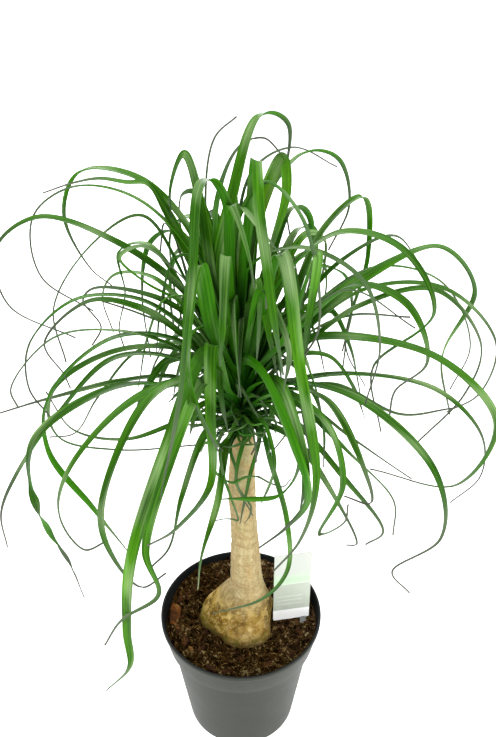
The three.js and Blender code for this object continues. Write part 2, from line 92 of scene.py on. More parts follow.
def ramp(tree, factor, *stops):
    """A colour ramp: each stop is a place and a colour, or a place and a grey value."""
    made = node(tree, "ValToRGB", {"Fac": factor})
    while len(made.color_ramp.elements) < len(stops):
        made.color_ramp.elements.new(0.5)
    for element, (place, value) in zip(made.color_ramp.elements, stops):
        element.position = place
        element.color = tint(value) if isinstance(value, str) else [value, value, value, 1]
    return made.outputs["Color"]


def mix(tree, factor, first, second):
    """Two colours mixed: each is a socket or a screen colour."""
    first, second = (tint(end) if isinstance(end, str) else end for end in (first, second))
    return node(tree, "Mix", {0: factor, 6: first, 7: second}, data_type="RGBA").outputs[2]


def maths(tree, operation, first, second=0.5, third=0.5):
    """One sum with two or three values."""
    return node(tree, "Math", {0: first, 1: second, 2: third}, operation=operation).outputs[0]


def eased(tree, value, start, end):
    """A mask that rises smoothly from 0 at the start to 1 at the end."""
    return node(tree, "MapRange", {0: value, 1: start, 2: end}, interpolation_type="SMOOTHSTEP").outputs[0]


def drawn_noise(tree, vector, turns, detail, roughness=0.5, distortion=0.0):
    """Noise drawn out along an axis: turns is how many it makes in a metre along each axis."""
    stretched = node(tree, "Mapping", {"Vector": vector, "Scale": turns}).outputs[0]
    inputs = {"Vector": stretched, "Scale": 1.0, "Detail": detail, "Roughness": roughness}
    return node(tree, "TexNoise", {**inputs, "Distortion": distortion}).outputs[0]


def group(name, inputs, outputs):
    """An empty node group with named inputs and outputs, and the sockets of its two end nodes."""
    tree = bpy.data.node_groups.new(name, "ShaderNodeTree")
    for title, kind in inputs.items():
        tree.interface.new_socket(title, in_out="INPUT", socket_type="NodeSocket" + kind)
    for title, kind in outputs.items():
        tree.interface.new_socket(title, in_out="OUTPUT", socket_type="NodeSocket" + kind)
    return tree, tree.nodes.new("NodeGroupInput").outputs, tree.nodes.new("NodeGroupOutput").inputs


# mottle: soft clouds with specks in them, at one scale for the whole group
CLOUD_SHARE = 0.65  # how much of the height comes from the clouds and how much from the specks
SPECK_SHARE = 0.35
SPECK_SCALE = 7.3
mottle, given, result = group(
    "mottle",
    {"Vector": "Vector", "Scale": "Float", "Contrast": "Float"},
    {"Cloud": "Float", "Speck": "Float", "Height": "Float"},
)
cloud = node(
    mottle, "TexNoise", {"Vector": given["Vector"], "Scale": given["Scale"], "Detail": 4, "Roughness": 0.6}
).outputs[0]
finer = maths(mottle, "MULTIPLY", given["Scale"], SPECK_SCALE)
speck = node(
    mottle, "TexNoise", {"Vector": given["Vector"], "Scale": finer, "Detail": 3, "Roughness": 0.65}
).outputs[0]
for source, title in ((cloud, "Cloud"), (speck, "Speck")):
    centred = maths(mottle, "SUBTRACT", source, 0.5)
    spread = maths(mottle, "MULTIPLY_ADD", centred, given["Contrast"], 0.5)
    mottle.links.new(node(mottle, "Clamp", {"Value": spread}).outputs[0], result[title])
coarse = maths(mottle, "MULTIPLY", cloud, CLOUD_SHARE)
mottle.links.new(maths(mottle, "MULTIPLY_ADD", speck, SPECK_SHARE, coarse), result["Height"])


def mottled(tree, vector, scale, contrast):
    """The mottle group placed in a material; gives its outputs."""
    made = tree.nodes.new("ShaderNodeGroup")
    made.node_tree = mottle
    tree.links.new(vector, made.inputs["Vector"])
    made.inputs["Scale"].default_value = scale
    made.inputs["Contrast"].default_value = contrast
    return made.outputs


def surface(name, **constants):
    """A material with one Principled shader whose constant values are set on its own sockets."""
    material = bpy.data.materials.new(name)
    material.use_nodes = True
    tree = material.node_tree
    shader = tree.nodes["Principled BSDF"]
    for title, value in constants.items():
        shader.inputs[title.replace("_", " ")].default_value = value
    return material, tree, shader


def finish_surface(tree, shader, color, roughness, height, depth):
    """Links colour, roughness and a bump of that depth in metres."""
    tree.links.new(color, shader.inputs["Base Color"])
    tree.links.new(roughness, shader.inputs["Roughness"])
    bump = node(tree, "Bump", {"Strength": 1.0, "Distance": depth, "Height": height})
    tree.links.new(bump.outputs["Normal"], shader.inputs["Normal"])


def make_piece(name, bm, material, smooth=True):
    """A bmesh made into a piece of the plant that rides on its one body."""
    mesh = bpy.data.meshes.new(name)
    bm.to_mesh(mesh)
    bm.free()
    mesh.polygons.foreach_set("use_smooth", [smooth] * len(mesh.polygons))
    mesh.materials.append(material)
    piece = bpy.data.objects.new(name, mesh)
    bpy.context.scene.collection.objects.link(piece)
    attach(piece, "root")
    return piece


def spun(profile, steps):
    """A profile of radius and height in millimetres turned about the vertical axis into a closed skin."""
    bm = bmesh.new()
    line = [bm.verts.new((radius * MM, 0, height * MM)) for radius, height in profile]
    edges = [bm.edges.new(pair) for pair in zip(line, line[1:])]
    bmesh.ops.spin(
        bm, geom=line + edges, cent=(0, 0, 0), axis=(0, 0, 1), angle=2 * math.pi, steps=steps, use_merge=True
    )
    bmesh.ops.remove_doubles(bm, verts=bm.verts, dist=1e-6)
    bmesh.ops.recalc_face_normals(bm, faces=bm.faces)
    return bm


def outside_radius(level):
    """Radius of the pot's outside at a height: the tub's slope, and above it the collar's."""
    if level < COLLAR_FOOT:
        return TUB_RADIUS + TUB_SLOPE * level
    return COLLAR_RADIUS + COLLAR_SLOPE * (level - COLLAR_FOOT)


plastic, tree, shader = surface("moulded_plastic", Specular_IOR_Level=0.14)
place = node(tree, "TexCoord").outputs["Object"]
cloudy = mottled(tree, place, 14, 1.6)
grain = mottled(tree, place, 420, 1.4)
# painted shade: the inside and the rim's top take a darker charcoal, the outside stands as the lit side
painted_shade = node(tree, "Attribute", attribute_name="painted_shade").outputs["Fac"]
scuffs = drawn_noise(tree, place, (60, 60, 260), 5)
outside = mix(tree, cloudy["Cloud"], POT_GREY, POT_GREY_LIGHT)
outside = mix(tree, ramp(tree, scuffs, (0.62, 0.0), (0.78, 0.16)), outside, "#4f524c")
inside = mix(tree, grain["Cloud"], POT_SHADED_CHARCOAL, "#212525")
scuffed = maths(tree, "MULTIPLY_ADD", scuffs, 0.1, 0.36)
rough = maths(tree, "MULTIPLY_ADD", cloudy["Cloud"], 0.14, scuffed)
finish_surface(tree, shader, mix(tree, painted_shade, outside, inside), rough, grain["Height"], 0.00008)

pot = make_piece("pot_shell", spun(POT_PROFILE, POT_STEPS), plastic)
drills = bmesh.new()
for hole in range(DRAIN_HOLES):
    angle = 2 * math.pi * hole / DRAIN_HOLES
    there = (DRAIN_CIRCLE * MM * math.cos(angle), DRAIN_CIRCLE * MM * math.sin(angle), 0)
    bmesh.ops.create_cone(
        drills, cap_ends=True, segments=DRILL_SIDES, radius1=DRAIN_RADIUS * MM, radius2=DRAIN_RADIUS * MM,
        depth=DRILL_LENGTH * MM, matrix=Matrix.Translation(there),
    )
drill = make_piece("drill", drills, plastic)
cut = pot.modifiers.new("drain_holes", "BOOLEAN")
cut.operation = "DIFFERENCE"
cut.solver = "EXACT"
cut.object = drill
bpy.context.view_layer.update()
bored = bpy.data.meshes.new_from_object(pot.evaluated_get(bpy.context.evaluated_depsgraph_get()))
pot.modifiers.clear()
pot.data = bored
bpy.data.objects.remove(drill)
# marks the inside and the rim's top for the painted shade
painted_shade_layer = bored.attributes.new("painted_shade", "FLOAT", "POINT")
for vert in bored.vertices:
    radius = math.hypot(vert.co.x, vert.co.y) / MM
    level = vert.co.z / MM
    within = level > FLOOR_LEVEL and radius < outside_radius(level) - SKIN_DEPTH
    painted_shade_layer.data[vert.index].value = 1.0 if level > RIM_LEVEL or within else 0.0
bored.set_sharp_from_angle(angle=math.radians(SHARP_ANGLE))
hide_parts("pot")

# Soil: loose dark potting mix that fills the pot to just under its rim. One lumpy skin carries crumbs of
# peat, chips of bark and pale fibres, which lie on it in random order.
SOIL_LEVEL = 141
SOIL_LUMPS = 1.8
SOIL_BANK = 8  # how much higher it lies against the back of the pot
SOIL_DIP = 3  # and how much lower at the left
LUMP_HEIGHT = 1.3
GRIT_HEIGHT = 0.8
SOIL_EDGE = 80.1
SOIL_STEPS = 220
SOIL_RINGS = 74
CRUMB_COUNT = 3600
FIBRE_COUNT = 520
CHIP_COUNT = 46
CHIP_REACH = 72


def make_draw(seed):
    """A repeatable random number between two limits."""
    state = [seed]

    def draw(low, high):
        state[0] = (state[0] * 1664525 + 1013904223) % 4294967296
        return low + (high - low) * state[0] / 4294967296

    return draw


def smooth(value):
    """An even rise from 0 to 1."""
    t = min(max(value, 0), 1)
    return t * t * (3 - 2 * t)


def soil_height(x, y):
    """Height of the soil in millimetres: the CAD's low waves, its bank and its dip, with lumps and grit."""
    waves = math.sin(0.16 * x + 0.5) * math.cos(0.13 * y) + 0.6 * math.sin(0.31 * x - 0.27 * y + 1.2)
    bank = SOIL_BANK * smooth((y - 8) / 62) - SOIL_DIP * smooth((-x - 58) / 18) * smooth((50 - y) / 30)
    lumps = noise.noise(Vector((x / 7, y / 7, 3))) * LUMP_HEIGHT
    grit = noise.noise(Vector((x / 2.4, y / 2.4, 9))) * GRIT_HEIGHT
    return SOIL_LEVEL + SOIL_LUMPS * 0.6 * waves + bank + lumps + grit


def lit_right_and_back(tree, place, color):
    """Painted light: the mix is paler towards the right and the back of the pot, where the foot casts its
    shade.
    """
    x, y = node(tree, "SeparateXYZ", {0: place}).outputs[:2]
    fade_mask = eased(tree, maths(tree, "MULTIPLY_ADD", y, 0.7, x), 0.0, 0.06)
    lighter = node(tree, "HueSaturation", {"Saturation": 0.9, "Value": 1.9, "Color": color}).outputs[0]
    return mix(tree, fade_mask, color, lighter)


soil_mix, tree, shader = surface("potting_mix", Specular_IOR_Level=0.0)
place = node(tree, "TexCoord").outputs["Object"]
patches = mottled(tree, place, 34, 2.2)
grains = mottled(tree, place, 260, 2.0)
dark = ramp(tree, grains["Cloud"], (0.2, "#080401"), (0.5, "#1a1004"), (0.8, "#38240b"))
red = ramp(tree, grains["Speck"], (0.25, "#120a03"), (0.6, "#37200a"), (0.85, "#62431b"))
color = mix(tree, ramp(tree, patches["Cloud"], (0.48, 0.0), (0.78, 0.6)), dark, red)
color = mix(tree, ramp(tree, grains["Speck"], (0.66, 0.0), (0.78, 0.7)), color, "#8f7046")
# painted light: paler towards the right and the back
color = lit_right_and_back(tree, place, color)
rough = maths(tree, "MULTIPLY_ADD", grains["Cloud"], 0.25, 0.7)
finish_surface(tree, shader, color, rough, grains["Height"], 0.0012)

profile = [(SOIL_EDGE * ring / SOIL_RINGS, SOIL_LEVEL) for ring in range(SOIL_RINGS + 1)]
profile += [(SOIL_EDGE - 0.6, SOIL_LEVEL - 5), (77, 124.2), (73, 120), (57.2, 4), (56, 2.8), (0, 2.7)]
bm = spun(profile, SOIL_STEPS)
for vert in bm.verts:
    if vert.co.z > (SOIL_LEVEL - 1) * MM:
        vert.co.z = soil_height(vert.co.x / MM, vert.co.y / MM) * MM
soil = make_piece("soil_bed", bm, soil_mix)
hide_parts("soil")


def template(shape, draw, roughness):
    """A small shape with its corners pushed about, for crumbs and chips."""
    bm = bmesh.new()
    shape(bm)
    for vert in bm.verts:
        vert.co *= 1 + draw(-roughness, roughness)
    mesh = bpy.data.meshes.new("template")
    bm.to_mesh(mesh)
    bm.free()
    return mesh


def strewn(name, templates, places, material, smooth=False):
    """One piece of many small shapes that lie on the soil, each put in its own place."""
    bm = bmesh.new()
    for number, there in enumerate(places):
        before = len(bm.verts)
        bm.from_mesh(templates[number % len(templates)])
        bm.verts.ensure_lookup_table()
        for vert in bm.verts[before:]:
            vert.co = there @ vert.co
    return make_piece(name, bm, material, smooth)


def lying(x, y, lift, size, draw, lean):
    """Where a small thing lies on the soil: millimetres, with a random turn and lean."""
    turn = Matrix.Rotation(draw(0, 6.3), 4, "Z") @ Matrix.Rotation(draw(-lean, lean), 4, "X")
    turn = turn @ Matrix.Rotation(draw(-lean, lean), 4, "Y")
    at = Vector((x, y, soil_height(x, y) + lift)) * MM
    return Matrix.Translation(at) @ turn @ Matrix.Diagonal((*[s * MM for s in size], 1))


def scattered(draw, inmost, reach):
    """A random place on the soil; inmost is the square of the share of the reach that stays clear."""
    heading = draw(0, 2 * math.pi)
    out = reach * math.sqrt(draw(inmost, 1))
    return out * math.cos(heading), out * math.sin(heading)


crumb_mix, tree, shader = surface("peat_crumbs", Specular_IOR_Level=0.0)
place = node(tree, "TexCoord").outputs["Object"]
lots = mottled(tree, place, 150, 3.2)
inner = mottled(tree, place, 900, 1.6)
color = ramp(
    tree, lots["Cloud"], (0.12, "#080402"), (0.42, "#1a0f04"), (0.6, "#2e1f0b"), (0.76, "#4f3b1a"),
    (0.92, "#8c7a55"),
)
color = mix(tree, inner["Cloud"], color, mix(tree, 0.45, color, "#120a05"))
# painted light: paler towards the right and the back
color = lit_right_and_back(tree, place, color)
rough = maths(tree, "MULTIPLY_ADD", inner["Cloud"], 0.3, 0.6)
finish_surface(tree, shader, color, rough, inner["Height"], 0.0005)


def crumb_shape(bm):
    """A lump of peat: a ball with few faces."""
    bmesh.ops.create_icosphere(bm, subdivisions=1, radius=1)


draw = make_draw(41)
crumb_shapes = [template(crumb_shape, draw, 0.3) for shape in range(9)]
places = []
for crumb in range(CRUMB_COUNT):
    x, y = scattered(draw, 0.1, SOIL_EDGE - 1.5)
    size = draw(0.5, 1.0) * draw(0.8, 1.8)
    shape = (size * draw(0.8, 1.5), size, size * draw(0.6, 0.9))
    places.append(lying(x, y, size * 0.35, shape, draw, 0.9))
strewn("soil_crumbs", crumb_shapes, places, crumb_mix)


def bark_finish(name, dark, brown, tan, pale):
    """Bark in four shades, from its wet hollows to its worn corners."""
    material, tree, shader = surface(name, Specular_IOR_Level=0.08)
    place = node(tree, "TexCoord").outputs["Object"]
    layers = mottled(tree, place, 90, 2.4)
    fine = mottled(tree, place, 600, 1.8)
    color = ramp(tree, layers["Cloud"], (0.2, dark), (0.5, brown), (0.75, tan), (0.95, pale))
    color = mix(tree, ramp(tree, fine["Cloud"], (0.3, 0.0), (0.7, 0.6)), color, dark)
    rough = maths(tree, "MULTIPLY_ADD", fine["Cloud"], 0.3, 0.6)
    finish_surface(tree, shader, color, rough, fine["Height"], 0.0006)
    return material


bark = bark_finish("bark_chips", "#221208", "#38200e", "#563617", "#856234")
fresh_bark = bark_finish("fresh_bark", "#3a200c", "#6c4016", "#85602f", "#a8977a")


def chip_shape(bm):
    """A flake of bark: a slab with worn edges."""
    made = bmesh.ops.create_cube(bm, size=2)
    bmesh.ops.bevel(
        bm, geom=bm.edges[:] + made["verts"], offset=0.3, affect="EDGES", segments=1, profile=0.5, material=-1
    )


draw = make_draw(5)
chip_shapes = [template(chip_shape, draw, 0.12) for shape in range(6)]
places = []
for chip in range(CHIP_COUNT):
    x, y = scattered(draw, 0.28, CHIP_REACH)
    places.append(lying(x, y, 0.5, (draw(1.8, 4.2), draw(1.2, 2.4), draw(0.7, 1.2)), draw, 0.4))
strewn("bark_chips", chip_shapes, places, bark)

BIG_CHIPS = [  # x, y, half sizes and turn of the chips that stand out; the first one is fresh and reddish
    (-71.5, 5, 12.5, 5.4, 2.2, 1.5), (-66.5, 28, 6.5, 2.4, 1.2, 1.2), (28, -58, 5.5, 3, 1.2, 0.4),
    (-30, -64, 6, 2.6, 1.2, 2.6), (52, -46, 4.5, 2.2, 1.1, 0.9), (-14, -68, 5, 2, 1, 0.2),
    (62, -20, 5, 2.6, 1.2, 2.2), (-58, -30, 4.5, 2.4, 1, 0.6),
]
BIG_CHIP_LIFT = 1.2
places = []
for x, y, long, wide, thick, turn in BIG_CHIPS:
    at = Matrix.Translation(Vector((x, y, soil_height(x, y) + BIG_CHIP_LIFT)) * MM)
    tilt = Matrix.Rotation(turn, 4, "Z") @ Matrix.Rotation(0.25, 4, "X") @ Matrix.Rotation(-0.1, 4, "Y")
    places.append(at @ tilt @ Matrix.Diagonal((long * MM, wide * MM, thick * MM, 1)))
strewn("big_bark_chips", chip_shapes, places[1:], bark)
strewn("fresh_bark_chip", chip_shapes, places[:1], fresh_bark)

fibre, tree, shader = surface("pale_fibres", Specular_IOR_Level=0.05)
place = node(tree, "TexCoord").outputs["Object"]
strands = mottled(tree, place, 200, 2.2)
color = ramp(tree, strands["Cloud"], (0.2, "#4a3517"), (0.5, "#7d6131"), (0.8, "#ab9159"))
rough = maths(tree, "MULTIPLY_ADD", strands["Speck"], 0.2, 0.6)
finish_surface(tree, shader, color, rough, strands["Height"], 0.0002)
FIBRE_STEPS = 5
FIBRE_END = 0.3  # how thick a fibre's ends are, as a share of its middle


def open_ring(bm, sides):
    """A ring of vertices and its edges, from which a shape is grown."""
    ring = bmesh.ops.create_circle(bm, segments=sides, radius=1)["verts"]
    return ring, list({edge for vert in ring for edge in vert.link_edges})


def next_ring(bm, edges):
    """The next ring of the shape and its edges, extruded from the last one's."""
    grown = bmesh.ops.extrude_edge_only(bm, edges=edges)["geom"]
    ring = [g for g in grown if isinstance(g, bmesh.types.BMVert)]
    return ring, [g for g in grown if isinstance(g, bmesh.types.BMEdge)]


def fibre_shape(bm):
    """A bent strand of four sides, two units long and pointed at both ends."""
    ring, edges = open_ring(bm, 4)
    for vert in ring:
        vert.co = Vector((-1, vert.co.x * FIBRE_END, vert.co.y * FIBRE_END))
    bmesh.ops.contextual_create(bm, geom=edges)
    stride = 2 / FIBRE_STEPS
    for step in range(1, FIBRE_STEPS + 1):
        ring, edges = next_ring(bm, edges)
        along = -1 + step * stride
        thick = max(FIBRE_END, 1 - along * along)
        old = max(FIBRE_END, 1 - (along - stride) ** 2)
        for vert in ring:
            vert.co.x = along
            vert.co.y *= thick / old
            vert.co.z *= thick / old
    bmesh.ops.contextual_create(bm, geom=edges)
    for vert in bm.verts:
        vert.co.z += 8 * math.cos(vert.co.x * 1.3) - 6
        vert.co.y += 5 * math.sin(vert.co.x * 2.1)


draw = make_draw(77)
fibre_mesh = template(fibre_shape, draw, 0.0)
places = []
for strand in range(FIBRE_COUNT):
    x, y = scattered(draw, 0.22, SOIL_EDGE - 5)
    thick = draw(0.14, 0.26)
    places.append(lying(x, y, 0.9, (draw(1.3, 4.2), thick, thick), draw, 0.35))
strewn("soil_fibres", [fibre_mesh], places, fibre, smooth=True)

# Trunk: one grown piece. The swollen foot sits in the soil with a shallow crease and a shallow hollow at its
# front left, and six thick roots run down from it. The slim trunk above it has pale dry bark with faint rings
# and small dents.
TRUNK_SECTIONS = [  # height, centre x and y, radius and how much the lobes stand out
    (97, 1, 0, 15, 0.04), (106, 0, 0, 25, 0.06), (118, -1, 0, 32, 0.07), (132, -2, -1, 36.5, 0.07),
    (147, -2.5, -1, 38, 0.07), (158, -1, 0, 36, 0.07), (168, 1, 1, 31.5, 0.06), (177, 3, 2, 27, 0.05),
    (186, 4.5, 2, 22.5, 0.03), (197, 6.5, 1, 18, 0.02), (215, 6, 1, 16, 0.02), (246, 5, 0, 14.4, 0.02),
    (288, 3.6, 0, 12.8, 0.02), (328, 1.8, 0, 13.2, 0.02), (360, 2.2, 0, 12.0, 0.02),
    (403.6, 3.2, 0, 11, 0.01),
]
TRUNK_SIDES = 120
TRUNK_LEVELS = [97 + i * 1.6 for i in range(28)]  # rings of the mesh, closest together on the foot
TRUNK_LEVELS += [141 + i * 0.9 for i in range(1, 62)]
TRUNK_LEVELS += [195.9 + i * 1.5 for i in range(1, 138)] + [403.4]
CREASE_DEPTH = 1.0
HOLLOW_DEPTH = 4.2
ROOT_COUNT = 6
ROOT_RADIUS = 4.6
ROOT_SIDES = 12
ROOT_STEPS = 12
ROOT_START = (12, 120)  # how far out and how high a root begins, inside the foot


def between(sections, height):
    """The values of a section at any height, on smooth curves through the given ones."""
    last = len(sections) - 1
    at = max(i for i in range(last) if sections[i][0] <= height or i == 0)
    t = (height - sections[at][0]) / (sections[at + 1][0] - sections[at][0])
    span = sections[at + 1][0] - sections[at][0]
    values = []
    for k in range(1, len(sections[0])):
        a, b = sections[at][k], sections[at + 1][k]
        low = sections[max(at - 1, 0)]
        high = sections[min(at + 2, last)]
        slope_a = (b - low[k]) / (sections[at + 1][0] - low[0]) * span
        slope_b = (high[k] - a) / (high[0] - sections[at][0]) * span
        near_a = a * (1 + 2 * t) * (1 - t) ** 2 + slope_a * t * (1 - t) ** 2
        values.append(near_a + b * t * t * (3 - 2 * t) + slope_b * t * t * (t - 1))
    return values


def towards(angle, heading, width):
    """1 where a direction round the trunk points along the heading in degrees, fading to 0 beside it."""
    away = (angle - math.radians(heading) + math.pi) % (2 * math.pi) - math.pi
    return math.exp(-((away / width) ** 2))


def bark_relief(x, y, z, angle):
    """How far the bark stands out, in millimetres: knobs, a crease and a hollow on the foot, rings above."""
    foot = 1 - smooth((z - 168) / 30)
    knobs = 1.5 * noise.fractal(Vector((x, y, z)) / 15, 1.0, 2.2, 3) * foot
    scales = 0.55 * noise.noise(Vector((x, y, z)) / 4.2) * (0.35 + 0.65 * foot)
    crease = -CREASE_DEPTH * towards(angle, 238 + 0.5 * (z - 150), 0.15) * foot
    crease = crease * smooth((z - 100) / 30) * smooth((176 - z) / 18)
    hollow = -HOLLOW_DEPTH * towards(angle, 224, 0.5) * smooth((176 - z) / 28) * smooth((z - 110) / 30)
    rings = 0.1 * math.sin(z * 0.62 + 1.6 * noise.noise(Vector((0, 0, z / 17)))) * (1 - foot)
    grain = 0.2 * noise.noise(Vector((x / 3, y / 3, z / 26))) * (1 - foot)
    pitted = noise.noise(Vector((x, y, z * 0.5)) / 9 + Vector((7, 0, 0)))
    dents = -0.7 * smooth((pitted - 0.25) / 0.3) * (1 - foot)
    return knobs + scales + crease + hollow + rings + grain + dents


bm = bmesh.new()
ring, edges = open_ring(bm, TRUNK_SIDES)
bmesh.ops.contextual_create(bm, geom=edges)
old_x, old_y = 0, 0
for step, level in enumerate(TRUNK_LEVELS):
    if step:
        ring, edges = next_ring(bm, edges)
    x, y, radius, lobes = between(TRUNK_SECTIONS, level)
    for vert in ring:
        angle = math.atan2(vert.co.y - old_y * MM, vert.co.x - old_x * MM)
        wave = math.cos(3 * (angle - math.radians(300))) + 0.45 * math.sin(5 * angle + 0.08 * level)
        reach = radius * (1 + lobes * wave)
        reach += bark_relief(x + reach * math.cos(angle), y + reach * math.sin(angle), level, angle)
        vert.co = Vector((x + reach * math.cos(angle), y + reach * math.sin(angle), level)) * MM
    old_x, old_y = x, y
bmesh.ops.contextual_create(bm, geom=edges)
draw = make_draw(11)
for root in range(ROOT_COUNT):
    heading = 2 * math.pi * (root + draw(0.2, 0.8)) / ROOT_COUNT
    length, depth = draw(38, 54), draw(38, 62)
    out = Vector((math.cos(heading), math.sin(heading), 0))
    across = Vector((-out.y, out.x, 0))
    lift = Vector((out.x, out.y, -1.2)).normalized().cross(across)
    ring, edges = open_ring(bm, ROOT_SIDES)
    bmesh.ops.contextual_create(bm, geom=edges)
    for step in range(ROOT_STEPS + 1):
        t = step / ROOT_STEPS
        if step:
            ring, edges = next_ring(bm, edges)
        centre = out * (ROOT_START[0] + (length - ROOT_START[0]) * t)
        centre.z = ROOT_START[1] - (ROOT_START[1] - depth) * t ** 1.4
        thick = ROOT_RADIUS * (1.25 - 0.85 * t)
        for vert in ring:
            if step == 0:
                angle = math.atan2(vert.co.y, vert.co.x)
                turned = lift * math.cos(angle) + across * math.sin(angle)
            else:
                turned = (vert.co / MM - last_centre).normalized()
            vert.co = (centre + turned * thick) * MM
        last_centre = centre
    bmesh.ops.contextual_create(bm, geom=edges)
bmesh.ops.recalc_face_normals(bm, faces=bm.faces)

WORN_PLACE = (0.010, -0.036, 0.158)  # the middle of a worn, paler patch on the front of the foot, in metres
bark_skin, tree, shader = surface("palm_bark", Specular_IOR_Level=0.15)
place = node(tree, "TexCoord").outputs["Object"]
z = node(tree, "SeparateXYZ", {0: place}).outputs[2]
patches = mottled(tree, place, 42, 2.0)
flecks = mottled(tree, place, 62, 2.8)
grain = drawn_noise(tree, place, (260, 260, 34), 5, 0.6, 0.4)
bands = drawn_noise(tree, place, (22, 22, 190), 3, 0.55)
up = eased(tree, z, 0.168, 0.2)
top = eased(tree, z, 0.31, 0.4)
skin = mottled(tree, place, 360, 2.8)
lumps = mottled(tree, place, 110, 2.8)
rust = mottled(tree, place, 27, 2.6)
streaks = drawn_noise(tree, place, (95, 95, 24), 4, 0.6)
pale = ramp(tree, grain, (0.25, "#9a885c"), (0.5, "#b8a778"), (0.75, "#cabe93"))
pale = mix(tree, ramp(tree, bands, (0.42, 0.0), (0.64, 0.5)), pale, "#957a4c")
pale = mix(tree, ramp(tree, skin["Cloud"], (0.2, 0.32), (0.45, 0.0)), pale, "#876c44")
pale = mix(tree, ramp(tree, skin["Cloud"], (0.58, 0.0), (0.8, 0.34)), pale, "#d6c9a2")
pale = mix(tree, ramp(tree, streaks, (0.48, 0.0), (0.68, 0.42)), pale, "#bb9862")
pale = mix(tree, ramp(tree, patches["Cloud"], (0.55, 0.0), (0.8, 0.3)), pale, "#8f8f4a")
cream = mix(tree, 0.5, pale, "#c2b985")
warm = mix(tree, ramp(tree, flecks["Cloud"], (0.5, 0.0), (0.75, 0.65)), cream, "#c48c5c")
pale = mix(tree, top, pale, warm)
browns = ((0.2, "#4c3c07"), (0.45, "#7a6010"), (0.65, "#997b26"), (0.85, "#b5964a"))
olive = ramp(tree, patches["Cloud"], *browns)
olive = mix(tree, ramp(tree, rust["Speck"], (0.52, 0.0), (0.74, 0.45)), olive, "#96682a")
olive = mix(tree, ramp(tree, lumps["Cloud"], (0.2, 0.6), (0.46, 0.0)), olive, "#53380a")
olive = mix(tree, ramp(tree, lumps["Cloud"], (0.55, 0.0), (0.8, 0.7)), olive, "#c8ab62")
olive = mix(tree, ramp(tree, flecks["Speck"], (0.6, 0.0), (0.8, 0.45)), olive, "#dcc488")
worn = node(tree, "VectorMath", {0: place, 1: WORN_PLACE}, operation="DISTANCE").outputs["Value"]
worn = eased(tree, worn, 0.034, 0.010)
tan = ramp(tree, flecks["Cloud"], (0.2, "#7a5c2b"), (0.5, "#a5854a"), (0.75, "#d0b77f"))
olive = mix(tree, maths(tree, "MULTIPLY", worn, patches["Speck"]), olive, tan)
mossy = eased(tree, z, 0.163, 0.148)
mossy = maths(tree, "MULTIPLY", mossy, ramp(tree, rust["Cloud"], (0.42, 0.0), (0.6, 0.75)))
olive = mix(tree, mossy, olive, "#5f5a0c")
color = mix(tree, up, olive, pale)
# the foot is darker towards the soil
near_soil = eased(tree, z, 0.155, 0.142)
color = mix(tree, maths(tree, "MULTIPLY", near_soil, 0.7), color, "#3a2c12")
knobbly = maths(tree, "MULTIPLY_ADD", skin["Height"], 0.5, lumps["Height"])
height = maths(tree, "MULTIPLY_ADD", grain, 0.3, knobbly)
rough = maths(tree, "MULTIPLY_ADD", flecks["Cloud"], 0.2, 0.66)
finish_surface(tree, shader, color, rough, height, 0.0016)
trunk = make_piece("palm_trunk", bm, bark_skin)
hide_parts("trunk")

